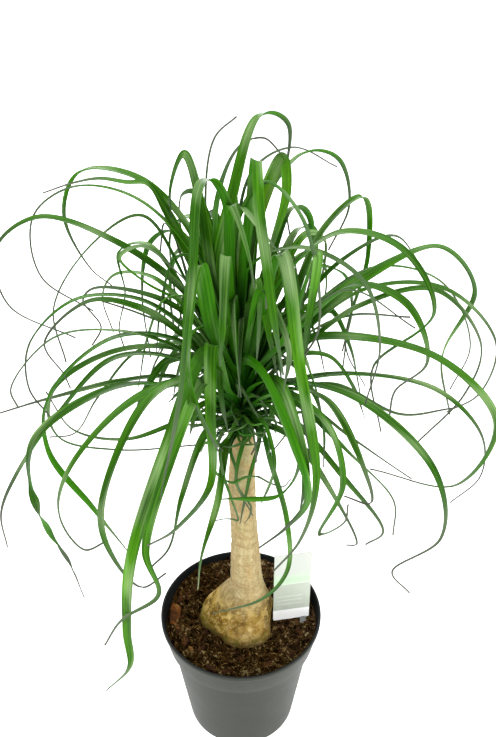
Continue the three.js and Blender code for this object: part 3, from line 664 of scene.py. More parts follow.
# Leaf head: long arching straps that all grow from the green tip of the stem. Each leaf is thick and half
# folded at its root, full in its middle and drawn out to a dry thread-like tip. The leaves that can be told
# apart are listed as width, the rank of the root and the points that they run through; rules add the others.
STEM_X = 2.5
FIRST_ROOT = 409  # height of the root of rank 410, and how much higher the next rank's is
ROOT_SPACING = 0.38
LEFT_LEAVES = [
    [9.5, 455, (-39, 15, 595), (-77, 26, 634), (-125, 38, 635), (-142, 38, 597), (-124, 29, 553),
     (-106, 22, 540)],
    [8, 450, (-39, 5, 583), (-80, 8, 627), (-125, 10, 635), (-160, 9, 610), (-160, 6, 558),
     (-120, 0, 529)],
    [9, 440, (-43, -5, 549), (-95, -13, 600), (-148, -23, 625), (-180, -32, 605), (-178, -34, 555),
     (-131, -28, 521)],
    [7, 445, (-42, 24, 525), (-76, 44, 567), (-104, 60, 552), (-102, 60, 510), (-111, 64, 470),
     (-107, 62, 448)],
    [7, 440, (-42, -13, 541), (-72, -25, 571), (-89, -34, 598), (-72, -30, 605), (-40, -19, 568)],
    [6, 430, (-45, -13, 536), (-77, -22, 560), (-112, -32, 569), (-120, -34, 560), (-109, -31, 533),
     (-117, -34, 518)],
    [9, 430, (-45, -17, 525), (-80, -31, 560), (-123, -50, 570), (-156, -68, 545), (-162, -73, 505),
     (-150, -70, 474)],
    [7, 428, (-45, -22, 519), (-76, -37, 555), (-112, -54, 571), (-145, -70, 545), (-135, -66, 512),
     (-132, -65, 498)],
    [8, 425, (-46, -25, 515), (-97, -54, 538), (-144, -83, 506), (-150, -89, 455), (-120, -89, 390),
     (-96, -89, 339)],
    [5, 425, (-49, -9, 496), (-105, -22, 503), (-155, -34, 472), (-155, -36, 424), (-105, -36, 410),
     (-32, -36, 416)],
    [8.5, 420, (-48, -32, 503), (-97, -65, 526), (-136, -92, 496), (-175, -99, 440), (-195, -99, 395),
     (-196, -99, 356)],
    [7, 418, (-53, -4, 464), (-102, -10, 465), (-160, -19, 454), (-209, -29, 443)],
    [8, 415, (-50, -39, 482), (-100, -80, 508), (-150, -120, 492), (-157, -124, 430), (-138, -124, 362),
     (-131, -124, 321)],
    [7.5, 412, (-46, -47, 491), (-85, -87, 499), (-124, -130, 474), (-138, -132, 425), (-122, -132, 388),
     (-104, -132, 398)],
    [9, 412, (-35, -48, 496), (-68, -93, 508), (-98, -133, 460), (-105, -133, 400), (-80, -133, 345),
     (-59, -133, 362)],
    [10, 420, (-26, -51, 523), (-54, -105, 474), (-82, -148, 400), (-93, -148, 310), (-95, -148, 260),
     (-118, -148, 226)],
    [8.5, 415, (-26, -60, 503), (-53, -127, 470), (-72, -144, 400), (-65, -146, 350), (-95, -152, 328),
     (-113, -150, 292)],
    [3.5, 430, (-46, 2, 494), (-85, 3, 488), (-126, 4, 436), (-152, 5, 394), (-175, 6, 389)],
    [3.5, 432, (-44, 9, 499), (-84, 18, 515), (-120, 26, 524)],
    [4.5, 412, (-45, -16, 427), (-96, -35, 421), (-137, -50, 443), (-154, -56, 488)],
    [4.5, 445, (-38, 32, 520), (-54, 46, 573), (-62, 52, 583), (-68, 57, 553)],
    [3.5, 440, (-41, 3, 552), (-74, 6, 612), (-115, 8, 588), (-155, 11, 525), (-151, 11, 470)],
    [4.5, 430, (-44, -27, 507), (-93, -58, 548), (-135, -84, 558), (-166, -103, 527), (-163, -104, 509)],
    [10, 452, (-39, 6, 576), (-57, 8, 617), (-69, 10, 637), (-85, 12, 637), (-106, 15, 639),
     (-128, 18, 634), (-153, 22, 624)],
]
TOP_LEAVES = [
    [10, 462, (-20, 2, 539), (-29, 3, 622), (-40, 6, 662), (-52, 9, 632), (-50, 10, 590), (-40, 8, 554)],
    [8.5, 455, (-7, -20, 560), (-6, -24, 605), (-8, -33, 640), (-16, -55, 668), (-23, -76, 676),
     (-26, -95, 672), (-27, -108, 660), (-28, -118, 642), (-30, -124, 622), (-35, -130, 583),
     (-41, -134, 535), (-58, -142, 453)],
    [12.5, 475, (-18, 3, 560), (-5, 9, 625), (15, 25, 684), (39, 52, 668), (38, 62, 605), (53, 66, 515)],
    [5.5, 470, (-16, 10, 534), (-18, 34, 610), (0, 56, 648), (20, 70, 650), (37, 80, 630)],
    [7.5, 468, (6, 3, 538), (20, 12, 620), (50, 31, 653), (80, 50, 640), (92, 60, 594), (76, 51, 558)],
    [3.5, 470, (-19, 0, 545), (-26, 14, 612), (-18, 23, 668), (-1, 28, 683)],
    [3.5, 468, (-3, 8, 560), (10, 33, 636), (43, 58, 647), (82, 78, 622)],
    [6, 470, (-3, -6, 543), (0, -20, 622), (22, -48, 664), (46, -70, 645), (58, -90, 570), (46, -94, 545)],
    [11, 470, (4, 5, 530), (14, 9, 605), (33, -6, 665), (35, -36, 650), (22, -54, 605), (21, -63, 570)],
    [8, 468, (2, -8, 540), (10, -25, 640), (13, -56, 683), (15, -88, 660), (19, -106, 638),
     (25, -120, 597), (32, -126, 555)],
    [8.5, 466, (-4, -4, 523), (-7, -17, 605), (-3, -44, 644), (8, -69, 619), (12, -78, 597)],
    [5, 464, (-5, -4, 542), (-9, -15, 617), (2, -43, 643), (20, -65, 631), (31, -80, 623)],
]
FRONT_LEAVES = [
    [12, 452, (-19, -43, 530), (-29, -62, 606), (-36, -84, 562), (-34, -88, 510), (-16, -86, 451)],
    [9.5, 452, (-5, -28, 524), (-9, -44, 604), (-12, -57, 552), (-14, -66, 520)],
    [11, 440, (-11, -35, 477), (-20, -62, 537), (-22, -69, 480), (-24, -70, 400), (-48, -130, 410),
     (-65, -177, 440)],
    [11.5, 438, (-1, -14, 488), (19, -70, 515), (42, -108, 478), (54, -118, 430), (38, -116, 396),
     (17, -112, 369)],
    [10, 452, (15, -20, 514), (32, -66, 617), (44, -106, 550), (60, -118, 448), (50, -114, 380),
     (29, -108, 336)],
    [9.5, 452, (36, -56, 540), (55, -86, 628), (51, -78, 560), (49, -76, 495), (58, -90, 445)],
    [6, 414, (16, -25, 434), (27, -40, 399), (43, -40, 329), (45, -36, 255), (21, -35, 214),
     (-28, -35, 192)],
    [7, 413, (-9, -22, 410), (-20, -46, 355), (-34, -76, 318), (-38, -85, 286)],
    [7, 412, (-27, -43, 436), (-48, -77, 393), (-60, -95, 350), (-74, -118, 351)],
    [5, 413, (17, -24, 420), (9, -27, 370), (0, -28, 312)],
    [5, 414, (6, -22, 421), (-3, -27, 366), (12, -34, 328)],
    [5, 414, (24, -40, 462), (48, -86, 448), (35, -83, 402), (-15, -62, 376)],
    [9.5, 430, (14, -26, 473), (33, -75, 507), (52, -110, 452), (49, -112, 411)],
    [6, 450, (9, -31, 530), (18, -56, 582), (36, -104, 564), (34, -94, 517)],
]
RIGHT_LEAVES = [
    [10, 455, (39, 18, 507), (70, 30, 590), (100, 41, 612), (108, 41, 560), (94, 32, 475), (116, 38, 424)],
    [8, 445, (27, -11, 554), (75, -32, 617), (118, -56, 616), (143, -73, 573), (105, -58, 513),
     (115, -67, 456)],
    [5, 450, (6, -8, 570), (47, -48, 613), (88, -87, 607), (102, -96, 560), (97, -88, 500)],
    [6, 448, (43, 15, 513), (85, 26, 562), (128, 33, 581), (157, 33, 546)],
    [10.5, 445, (51, 4, 508), (102, 7, 558), (160, 8, 585), (194, 7, 545), (175, 7, 480), (190, 7, 415)],
    [8.5, 440, (48, -18, 522), (91, -36, 575), (128, -51, 566), (146, -61, 520), (125, -55, 488),
     (123, -55, 462)],
    [7.5, 436, (51, -9, 497), (97, -19, 546), (152, -32, 568), (191, -43, 525), (185, -42, 475),
     (153, -38, 420)],
    [6, 440, (51, -2, 507), (105, -5, 554), (165, -10, 556), (212, -15, 507), (205, -16, 455),
     (180, -16, 436)],
    [10, 428, (42, -24, 512), (90, -54, 539), (150, -90, 542), (192, -109, 500), (170, -109, 436),
     (102, -109, 453)],
    [8, 420, (39, -11, 462), (92, -26, 484), (160, -45, 482), (200, -57, 445), (206, -59, 400),
     (186, -53, 363)],
    [8.5, 418, (42, -33, 479), (95, -75, 494), (148, -117, 462), (162, -122, 390), (127, -122, 352),
     (144, -122, 325)],
    [8.5, 415, (41, -49, 486), (70, -82, 497), (98, -112, 452), (104, -118, 426), (86, -95, 411)],
    [10, 412, (39, -60, 489), (69, -105, 490), (80, -119, 445), (65, -119, 392), (84, -119, 405),
     (86, -119, 425)],
    [6, 410, (39, -37, 449), (86, -80, 418), (118, -108, 386), (107, -97, 357)],
    [6, 412, (47, -64, 444), (80, -107, 414), (95, -123, 386), (88, -114, 374)],
    [3.5, 415, (43, -25, 461), (95, -55, 438), (142, -82, 418)],
    [4.5, 432, (43, -6, 499), (89, -12, 532), (138, -19, 535)],
    [4.5, 435, (41, -23, 525), (85, -42, 574), (134, -60, 551)],
    [3.5, 440, (51, 7, 516), (110, 16, 561), (168, 24, 544), (204, 28, 475), (192, 27, 428)],
    [4.5, 418, (39, -14, 456), (80, -28, 474), (133, -48, 459), (173, -63, 477)],
    [5, 415, (43, -36, 463), (90, -80, 443), (122, -114, 425), (124, -120, 392)],
]
LEAF_TONES = {  # how bright each listed leaf is, from a dark one at 0 to a fresh one at 1
    "left": (
        0.55, 0.55, 0.3, 0.5, 0.65, 0.45, 0.5, 0.25, 0.5, 0.3, 0.25, 0.05, 0.15, 0.5, 0.45, 0.8, 0.6, 0.4,
        0.3, 0.35, 0.4, 0.3, 0.4, 0.6,
    ),
    "top": (0.4, 0.2, 0.65, 0.35, 0.45, 0.3, 0.3, 0.35, 0.9, 0.45, 0.5, 0.45),
    "front": (0.55, 0.5, 0.9, 0.35, 0.65, 0.6, 0.5, 1.0, 0.6, 0.25, 0.4, 0.6, 0.5, 0.3),
    "right": (
        0.6, 0.35, 0.3, 0.3, 0.7, 0.35, 0.25, 0.45, 0.45, 0.25, 0.35, 0.05, 0.6, 0.4, 0.4, 0.2, 0.3, 0.3, 0.4,
        0.4, 0.5,
    ),
}
LEAF_SHARES = {  # under 1 the blade ends while it is still broad, over 1 it thins out early
    "left": {1: 1.25, 2: 1.1, 5: 1.1, 6: 1.1, 7: 1.1, 8: 0.8, 12: 0.95, 15: 0.84},
    "top": {1: 0.9, 2: 1.3, 3: 1.1, 9: 0.74, 10: 0.75, 11: 0.72},
    "front": {0: 0.88, 1: 0.72, 6: 0.84, 7: 0.97, 9: 0.86, 10: 0.96, 11: 0.62, 12: 0.85, 13: 0.8},
    "right": {0: 1.1, 6: 1.1, 9: 1.1, 10: 1.1},
}
LEAF_TWISTS = {  # a blade's turn near its root and at its tip, in radians, and the start of its sway
    "left": {0: (-0.15, -0.15, 0.098), 2: (-0.6, 0.3, 0.137), 8: (0, 0.9, 0.098), 12: (0.9, 0, 0.052)},
    "top": {
        0: (-2.0, 0.6, 0.138), 1: (0, 0.05, 0.006), 2: (0.44, -1.36, 0.118), 3: (0.3, 3.0, 0.118),
        4: (0.9, -1.5, 0.138), 7: (-2.7, -2.7, 0.02), 8: (0, 2.0, 0.6), 9: (0, 0.3, 0.5),
    },
    "front": {
        0: (0, 0.3, 0.1), 1: (0, 0.1, 0.3), 2: (-0.44, 0.46, 0.118), 3: (-0.9, -2.7, 0.039), 4: (0, 0.5, 0.5),
        6: (0, 0.8, 0.4), 7: (0, 0.7, 0.2), 9: (0, 0.9, 0.7), 10: (0, 0.8, 0.5), 11: (0, -1.2, 0.9),
    },
    "right": {0: (0.3, -0.6, 0.059), 4: (-0.3, 4.2, 0.137), 10: (-0.6, 1.2, 0.078)},
}
LEAF_SPINS = {("left", 12): -40}  # a leaf whose end is wound like a corkscrew, in radians over its length
SPIN_START = 0.68  # the share of a leaf's length at which the winding starts
LEAF_WIDTHS = {  # blades that are a little narrower or wider than they are in the list
    "left": {8: 7.5, 11: 5.8, 12: 9},
    "top": {1: 7, 2: 11, 3: 8, 7: 5.5},
    "front": {0: 13.5, 1: 8.4, 2: 10, 3: 10.5, 5: 7.5, 6: 5, 9: 3.8, 10: 3.8},
    "right": {4: 11, 6: 5.8, 7: 4.8, 8: 8.8, 10: 7.2},
}
CURLS = [  # thin ends of small leaves that hang and curl in front of the trunk: width, rank, share, points
    [3.2, 414, 0.92, (-14, -18, 415), (-22, -28, 400), (-23, -34, 389), (-17, -34, 376), (-6, -32, 368),
     (5, -30, 372), (16, -32, 375), (27, -38, 373), (38, -42, 372), (45, -44, 383)],
    [3.2, 412, 0.9, (-8, -20, 400), (-3, -24, 376), (-3, -24, 359), (3, -24, 345), (10, -24, 331),
     (9, -24, 318), (4, -24, 308)],
    [3, 413, 0.9, (-16, -30, 408), (-15, -36, 386), (-7, -32, 346), (-2, -28, 316), (-8, -30, 320),
     (-17, -32, 322), (-26, -34, 320)],
    [3.5, 424, 0.76, (12, -26, 440), (22, -46, 446), (30, -56, 414), (27, -52, 387), (19, -46, 355)],
]
BACK_COUNT = 20
BACK_HEADINGS = (28, 152)
INNER_COUNT = 16
FILLING_COUNT = 28
WISP_COUNT = 50
TUFT_COUNT = 40
CLASP_REACH = 0.27  # where a leaf leaves the stem, as shares of the way to its first point
CLASP_RISE = 0.42
TIP_WIDTH = 1.6
LIGHT_LEAN = 0.2  # how far the leaves at the sides turn their faces to the light, in radians
BLADE_THICKNESS = (1.7, 0.9)  # at the root and at the tip, in millimetres
CURVE_STEPS = 24  # places on the curve between two listed points
SECTION_STEP = 7.5  # millimetres of leaf between two sections
SECTION_BEND = 7.0  # and degrees of its bend
ACROSS = (-1, -0.55, 0, 0.55, 1)  # the places across a blade, on its face and on its back


def blade_width(width, t):
    """Width of a blade at a share of its length: narrow at the root, full in its middle, thin at its tip."""
    full = width * (0.5 + 0.68 * smooth(t / 0.22) - 0.45 * t)
    taper = 0.3 + 0.03 * width
    return full + (TIP_WIDTH - full) * smooth((t - taper) / (1 - taper))


def root_of(rank):
    """Height of the root of that rank on the stem."""
    return FIRST_ROOT + ROOT_SPACING * (rank - 410)


def leaf_route(rank, points):
    """From the stem's axis, clasping the stem at first, then through the leaf's points."""
    root_height = root_of(rank)
    x, y, z = points[0]
    clasp_height = root_height + CLASP_RISE * (z - root_height)
    clasp = (STEM_X + CLASP_REACH * (x - STEM_X), CLASP_REACH * y, clasp_height)
    return [Vector(p) for p in ((STEM_X, 0, root_height), clasp, *points)]


def curve_through(points):
    """Close points along the centripetal curve through the given ones."""
    ends = [2 * points[0] - points[1], *points, 2 * points[-1] - points[-2]]
    line = []
    for a, b, c, d in zip(ends, ends[1:], ends[2:], ends[3:]):
        ab, bc, cd = (max((q - p).length, 1e-4) ** 0.5 for p, q in ((a, b), (b, c), (c, d)))
        start = ((b - a) / ab - (c - a) / (ab + bc) + (c - b) / bc) * bc
        end = ((c - b) / bc - (d - b) / (bc + cd) + (d - c) / cd) * bc
        for i in range(CURVE_STEPS):
            t = i / CURVE_STEPS
            line.append(
                b + start * t + (3 * (c - b) - 2 * start - end) * t * t + (2 * (b - c) + start + end) * t ** 3
            )
    return line + [points[-1]]


def leaf_sections(line):
    """Places along a curve, closer where it bends: share of its length, distance, point and direction."""
    lengths, bends = [0], [0]
    for i in range(1, len(line)):
        lengths.append(lengths[-1] + (line[i] - line[i - 1]).length)
        turn = 0
        if i > 1:
            turn = (line[i] - line[i - 1]).angle(line[i - 1] - line[i - 2], 0)
        bends.append(bends[-1] + math.degrees(turn))
    effort = [a / SECTION_STEP + b / SECTION_BEND for a, b in zip(lengths, bends)]
    steps = max(10, math.ceil(effort[-1]))
    places, i = [], 0
    for step in range(steps + 1):
        wanted = effort[-1] * step / steps
        while i < len(line) - 2 and effort[i + 1] < wanted:
            i += 1
        share = min(max((wanted - effort[i]) / max(effort[i + 1] - effort[i], 1e-9), 0), 1)
        near = line[i].lerp(line[i + 1], share)
        low, high = max(i - 1, 0), min(i + 2, len(line) - 1)
        along = (line[high] - line[low]).normalized()
        distance = lengths[i] + share * (lengths[i + 1] - lengths[i])
        places.append((distance / lengths[-1], distance, near, along))
    return places


def add_leaf(bm, width, points, twist, tone, share, phase, layers):
    """One leaf: a ring of the blade's cross-section is extruded along the route, section by section."""
    uv, shade, under, sky = layers
    first, last, spin = twist
    middle = points[len(points) // 2]
    heading = math.atan2(middle.y, middle.x - STEM_X)
    level = Vector((-math.sin(heading), math.cos(heading), 0))
    order = list(ACROSS) + [-s for s in ACROSS]
    rims = (0, len(ACROSS) - 1, len(ACROSS), len(order) - 1)
    ring, edges = open_ring(bm, len(order))
    bmesh.ops.contextual_create(bm, geom=edges)
    rings = [ring]
    breadths = []
    sections = leaf_sections(curve_through(points))
    for step, (t, distance, centre, along) in enumerate(sections):
        if step:
            fresh, edges = next_ring(bm, edges)
            ring = []
            for vert in rings[-1]:
                ring.append(next(e.other_vert(vert) for e in vert.link_edges if e.other_vert(vert) in fresh))
            rings.append(ring)
        side = (level - along * level.dot(along)).normalized()
        sway = 0.34 * math.sin(6 * t + 40 * phase) + 0.14 * math.sin(15 * t + 80 * phase)
        sway *= smooth(t * 4) * (0.85 + 1.35 * smooth((t - 0.3) / 0.5)) / (1 + abs(last - first))
        lean = LIGHT_LEAN * math.cos(heading) * smooth(t * 5) * (0.7 + 0.6 * t)
        turned = first * smooth(t * 6) + (last - first) * t + spin * max(0, t - SPIN_START)
        side = Matrix.Rotation(turned + sway + lean, 3, along) @ side
        up = along.cross(side)
        broad = blade_width(width, t * share)
        if share < 1:
            broad *= 1 - 0.7 * smooth((t - 0.86) / 0.14)
        breadths.append(broad)
        half = broad / 2
        slim = 1 - smooth((broad - 1.5) / 4.5)
        thick = BLADE_THICKNESS[0] + (BLADE_THICKNESS[1] - BLADE_THICKNESS[0]) * t
        fold = half * (0.42 - 0.2 * smooth(t * 2.2))
        for number, (vert, s) in enumerate(zip(ring, order)):
            face = number < len(ACROSS)
            rise = fold * (s * s - 0.4) + 0.3 * thick
            if not face:
                rise -= thick * (0.32 + 0.68 * (1 - s * s))
            vert.co = (centre + side * (half * s) + up * rise) * MM
            vert[shade] = (t * share, tone, slim, 1)
            vert[under] = 0.0 if face else 1.0
            vert[sky] = max(up.z, 0.0) if face else max(-up.z, 0.0)
    bmesh.ops.contextual_create(bm, geom=edges)
    for row, broad, section in zip(rings, breadths, sections):
        for vert, s in zip(row, order):
            for loop in vert.link_loops:
                loop[uv].uv = (broad / 2 * s * MM, section[1] * MM + phase)
    for row, following in zip(rings, rings[1:]):
        for number in rims:
            bm.edges.get((row[number], following[number])).smooth = False


def leaves_piece(name, leaves, material):
    """A group of leaves as one piece; each leaf is its width, route, twist, tone, share and phase."""
    whole = bmesh.new()
    for leaf in leaves:
        bm = bmesh.new()
        layers = (
            bm.loops.layers.uv.new("blade"),
            bm.verts.layers.float_color.new("shade"),
            bm.verts.layers.float.new("under"),
            bm.verts.layers.float.new("sky"),
        )
        add_leaf(bm, *leaf, layers)
        bmesh.ops.recalc_face_normals(bm, faces=bm.faces)
        mesh = bpy.data.meshes.new("leaf")
        bm.to_mesh(mesh)
        bm.free()
        whole.from_mesh(mesh)
    piece = make_piece(name, whole, material)
    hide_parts("leaf_head")


def spot(angle, out, height):
    """A point so far out from the stem's axis, in a direction and at a height."""
    return (STEM_X + out * math.cos(angle), out * math.sin(angle), height)


def back_route(number, draw):
    """A leaf that arches over the back of the head."""
    first, last = BACK_HEADINGS
    heading = math.radians(first + (last - first) * (number + draw(0.1, 0.9)) / BACK_COUNT)
    rank = draw(412, 468)
    root = root_of(rank)
    high = (rank - 412) / 56
    rise = 58 + 125 * high + draw(-12, 12)
    reach = 165 - 70 * high + draw(-18, 18)
    drop = draw(70, 150)
    turn = draw(-0.25, 0.25)
    shape = [
        (0.3 * reach, 0.72 * rise, 0.1), (0.6 * reach, rise, 0.3), (0.9 * reach, rise - 0.16 * drop, 0.6),
        (reach, rise - 0.55 * drop, 0.9), (0.93 * reach, rise - drop, 1.2),
    ]
    return leaf_route(rank, [spot(heading + turn * swing, out, root + up) for out, up, swing in shape])


def inner_route(number, draw):
    """A short leaf that curls round the neck."""
    heading = 2 * math.pi * (number + draw(0, 1)) / INNER_COUNT
    rank = draw(412, 450)
    root = root_of(rank)
    reach = draw(26, 48)
    curl = draw(-0.7, 0.7)
    points = [spot(heading, 0.5 * reach, root + draw(8, 22))]
    points.append(spot(heading + curl * 0.6, reach, root + draw(-4, 16)))
    out = draw(0.8, 1.15) * reach
    points.append(spot(heading + curl * 1.4, out, root + draw(-26, -6)))
    return leaf_route(rank, points)


def filling_route(number, draw):
    """A plain leaf among the listed ones; those towards the viewer stay high, clear of the trunk."""
    heading = 2 * math.pi * (number + draw(0, 1)) / FILLING_COUNT
    facing = max(0.0, math.cos(heading - math.radians(268))) ** 6
    rank = 412 + (54 * draw(0, 1)) * (1 - facing) + facing * draw(34, 54)
    root = root_of(rank)
    high = (rank - 412) / 54
    rise = 30 + 130 * high + draw(-18, 18)
    reach = (96 - 34 * high + draw(-20, 20)) * (1 - 0.4 * facing)
    drop = draw(10, 60) * (1 - 0.5 * facing)
    turn = draw(-0.5, 0.5)
    shape = [
        (0.25 * reach, 0.6 * rise, 0.1), (0.5 * reach, 0.92 * rise, 0.3), (0.75 * reach, 0.95 * rise, 0.5),
        (0.95 * reach, 0.78 * rise - 0.25 * drop, 0.75), (1.08 * reach, 0.55 * rise - 0.6 * drop, 1.0),
    ]
    return leaf_route(rank, [spot(heading + turn * swing, out, root + up) for out, up, swing in shape])


def wisp_route(number, draw):
    """A thin short leaf that curls about the top of the trunk."""
    heading = 2 * math.pi * (number + draw(0, 1)) / WISP_COUNT * 3
    rank = draw(410, 424)
    root = root_of(rank)
    reach = draw(20, 50)
    curl = draw(-0.8, 0.8)
    lift = draw(-4, 34)
    points = [spot(heading, 0.45 * reach, root + 0.7 * lift + draw(0, 8))]
    points.append(spot(heading + curl * 0.45, 0.85 * reach, root + lift))
    points.append(spot(heading + curl, 1.05 * reach, root + lift + draw(-8, 6)))
    points.append(spot(heading + curl * 1.3, draw(0.95, 1.15) * reach, root + lift + draw(-14, 8)))
    return leaf_route(rank, points)


def tuft_route(number, draw):
    """A short leaf that fills the heart of the head and leans over its neighbours."""
    heading = 2 * math.pi * (number + draw(0, 1)) / TUFT_COUNT * 5
    rank = draw(414, 446)
    root = root_of(rank)
    reach = draw(30, 66)
    lift = draw(14, 80)
    turn = draw(-0.9, 0.9)
    points = [spot(heading, 0.4 * reach, root + 0.75 * lift)]
    points.append(spot(heading + turn * 0.4, 0.8 * reach, root + lift))
    points.append(spot(heading + turn, draw(1, 1.3) * reach, root + draw(0.4, 0.9) * lift))
    return leaf_route(rank, points)


leaf_skin, tree, shader = surface("leaf_blade", Specular_IOR_Level=0.045)
blade = node(tree, "UVMap", uv_map="blade").outputs[0]
shade = node(tree, "Attribute", attribute_name="shade").outputs["Color"]
t, tone, slim = node(tree, "SeparateColor", {0: shade}).outputs[:3]
under = node(tree, "Attribute", attribute_name="under").outputs["Fac"]
sky = node(tree, "Attribute", attribute_name="sky").outputs["Fac"]


def blade_noise(across, along, detail):
    """Noise drawn out along the blade: how many turns it makes in a metre across and along."""
    return drawn_noise(tree, blade, (across, along, 1), detail, 0.6)


veins = blade_noise(2600, 9, 3)
stripes = blade_noise(620, 6, 2)
cloud = blade_noise(60, 15, 3)
light = blade_noise(70, 13, 1)
# painted light: glow lifts long stretches of each blade to a brighter green, as if lit through
glow = ramp(tree, blade_noise(20, 8, 2), (0.36, 0.0), (0.64, 0.5))
glow = maths(tree, "MULTIPLY", glow, maths(tree, "MULTIPLY_ADD", tone, 0.8, 0.3))
greens = ((0.0, "#032b00"), (0.3, "#164c00"), (0.6, "#2f6900"), (0.85, "#468204"), (1.0, "#547c0a"))
own = ramp(tree, maths(tree, "MULTIPLY_ADD", tone, 0.58, glow), *greens)
color = mix(tree, ramp(tree, cloud, (0.42, 0.0), (0.62, 0.65)), own, "#083a00")
color = mix(tree, ramp(tree, stripes, (0.44, 0.0), (0.66, 0.4)), color, "#5a9420")
color = mix(tree, ramp(tree, stripes, (0.3, 0.5), (0.45, 0.0)), color, "#0a3d02")
color = mix(tree, ramp(tree, veins, (0.45, 0.0), (0.7, 0.22)), color, "#7a9c48")
# painted light: the backs of the blades are a brighter, more saturated green, as if lit through
color = mix(tree, maths(tree, "MULTIPLY", under, 0.3), color, "#3c9200")
# painted highlights: pale patches where a blade faces up, broken by its stripes, and a painted sheen
lines = ramp(tree, stripes, (0.34, 0.5), (0.6, 1.0))
facing_up = maths(tree, "MULTIPLY_ADD", sky, 0.36, 0.28)
highlight_patch = maths(tree, "MULTIPLY", ramp(tree, light, (0.5, 0.0), (0.68, 1.0)), facing_up)
highlight_patch = maths(tree, "MULTIPLY", highlight_patch, maths(tree, "MULTIPLY_ADD", tone, 0.9, 0.5))
highlight_patch = maths(tree, "MULTIPLY", highlight_patch, ramp(tree, t, (0.2, 0.7), (0.5, 1.0)))
color = mix(tree, maths(tree, "MULTIPLY", highlight_patch, lines), color, "#b6cf98")
fresh = maths(tree, "MULTIPLY_ADD", tone, 0.9, 0.15)
sheen = maths(tree, "MULTIPLY", ramp(tree, sky, (0.7, 0.0), (1.0, 0.5)), fresh)
color = mix(tree, sheen, color, "#5c8a40")
# painted shade: each blade darkens towards its root, deep in the head
color = mix(tree, ramp(tree, t, (0.0, 0.9), (0.12, 0.7), (0.38, 0.0)), color, "#044203")
aged = maths(tree, "MULTIPLY", slim, ramp(tree, t, (0.42, 0.0), (0.74, 0.75)))
color = mix(tree, aged, color, "#586650")
uneven = maths(tree, "MULTIPLY_ADD", cloud, 0.2, 0.98)
fade_mask = maths(tree, "MULTIPLY", t, maths(tree, "MULTIPLY_ADD", tone, -0.16, uneven))
withered = ramp(tree, tone, (0.5, "#4d5146"), (0.92, "#5b5e50"), (1.0, "#9a9a70"))
color = mix(tree, ramp(tree, fade_mask, (0.76, 0.0), (0.97, 0.9)), color, withered)
rough = maths(tree, "MULTIPLY_ADD", veins, 0.16, maths(tree, "MULTIPLY_ADD", under, 0.12, 0.3))
finish_surface(tree, shader, color, rough, stripes, 0.00025)

LISTED_LEAVES = {"left": LEFT_LEAVES, "top": TOP_LEAVES, "front": FRONT_LEAVES, "right": RIGHT_LEAVES}
RULED_LEAVES = [  # group, seed of its own draw, count, route, least and most width, turn, brightest, share
    ("back", None, BACK_COUNT, back_route, 6, 9, 0.6, 1, 1),
    ("inner", None, INNER_COUNT, inner_route, 2.5, 4, 0.9, 1, 1),
    ("filling", 61, FILLING_COUNT, filling_route, 5.5, 9, 1.0, 0.8, 0.9),
    ("wisps", None, WISP_COUNT, wisp_route, 2, 4, 2, 0.9, 0.8),
    ("tuft", None, TUFT_COUNT, tuft_route, 3, 6, 1.5, 0.7, 0.8),
]
draw = make_draw(29)
tones = make_draw(203)
groups = {}
for name, listed in LISTED_LEAVES.items():
    groups[name] = []
    for number, (width, rank, *points) in enumerate(listed):
        width = LEAF_WIDTHS[name].get(number, width)
        drawn = 0, draw(-0.6, 0.6), tones(0.15, 1)
        first, last, phase = LEAF_TWISTS[name].get(number, drawn)
        twist = (first, last, LEAF_SPINS.get((name, number), 0))
        share = LEAF_SHARES[name].get(number, 1)
        groups[name].append((width, leaf_route(rank, points), twist, LEAF_TONES[name][number], share, phase))
for name, seed, count, route_of, narrow, wide, turn, bright, share in RULED_LEAVES:
    if seed:
        draw = make_draw(seed)
    groups[name] = []
    for number in range(count):
        route = route_of(number, draw)
        width = draw(narrow, wide)
        twist = (0, draw(-turn, turn), 0)
        tone = tones(0, bright)
        groups[name].append((width, route, twist, tone, share, draw(0, 1)))
groups["curls"] = []
for width, rank, share, *points in CURLS:
    groups["curls"].append((width, leaf_route(rank, points), (0, 0.6, 0), 0.5, share, draw(0, 1)))
for name, leaves in groups.items():
    leaves_piece("leaves_" + name, leaves, leaf_skin)

STEM_PROFILE = [  # radius and height of the green tip that carries the leaves
    (0, 403.9), (9.6, 403.9), (11.4, 406.4), (13, 410), (13.8, 414.5), (14, 420), (13.3, 425.5), (12, 430),
    (9.8, 434), (7, 437), (3.6, 439.3), (0, 440),
]
STEM_STEPS = 48
stem_skin, tree, shader = surface("stem_tip", Specular_IOR_Level=0.1)
place = node(tree, "TexCoord").outputs["Object"]
streak = drawn_noise(tree, place, (400, 400, 30), 4)
color = ramp(tree, streak, (0.3, "#0c300a"), (0.55, "#1c4f10"), (0.8, "#3c6b1e"))
finish_surface(tree, shader, color, maths(tree, "MULTIPLY_ADD", streak, 0.2, 0.45), streak, 0.0008)
bm = spun(STEM_PROFILE, STEM_STEPS)
for vert in bm.verts:
    vert.co.x += STEM_X * MM
stem = make_piece("stem_tip", bm, stem_skin)
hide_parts("leaf_head")

# Label: a white plastic card with rounded corners on a flat pointed stake, pushed into the soil beside the
# foot and turned a little to the light. It is printed with one plain grey-green band that holds three thin
# pale lines, with a faint green wash above it, and the card is greyer towards its top.
CARD_WIDTH = 38.5
CARD_HEIGHT = 98
CARD_THICK = 0.8
CARD_CORNER = 1.5
CARD_FOOT = 150
CARD_LEFT = (34, -9.6)
CARD_TURN = 9.4
STAKE_WIDTH = 6
STAKE_PLACE = 0.84
STAKE_FOOT = 104
STAKE_POINT = 6  # the height over which the stake narrows to its point
STAKE_LAP = 1  # how far it reaches up into the card
BAND = (0.155, 0.55)  # all of these are shares of the card's height
WASH = (0.52, 0.68)
LINES = (0.24, 0.3, 0.36)
LINE_HEIGHT = 0.008


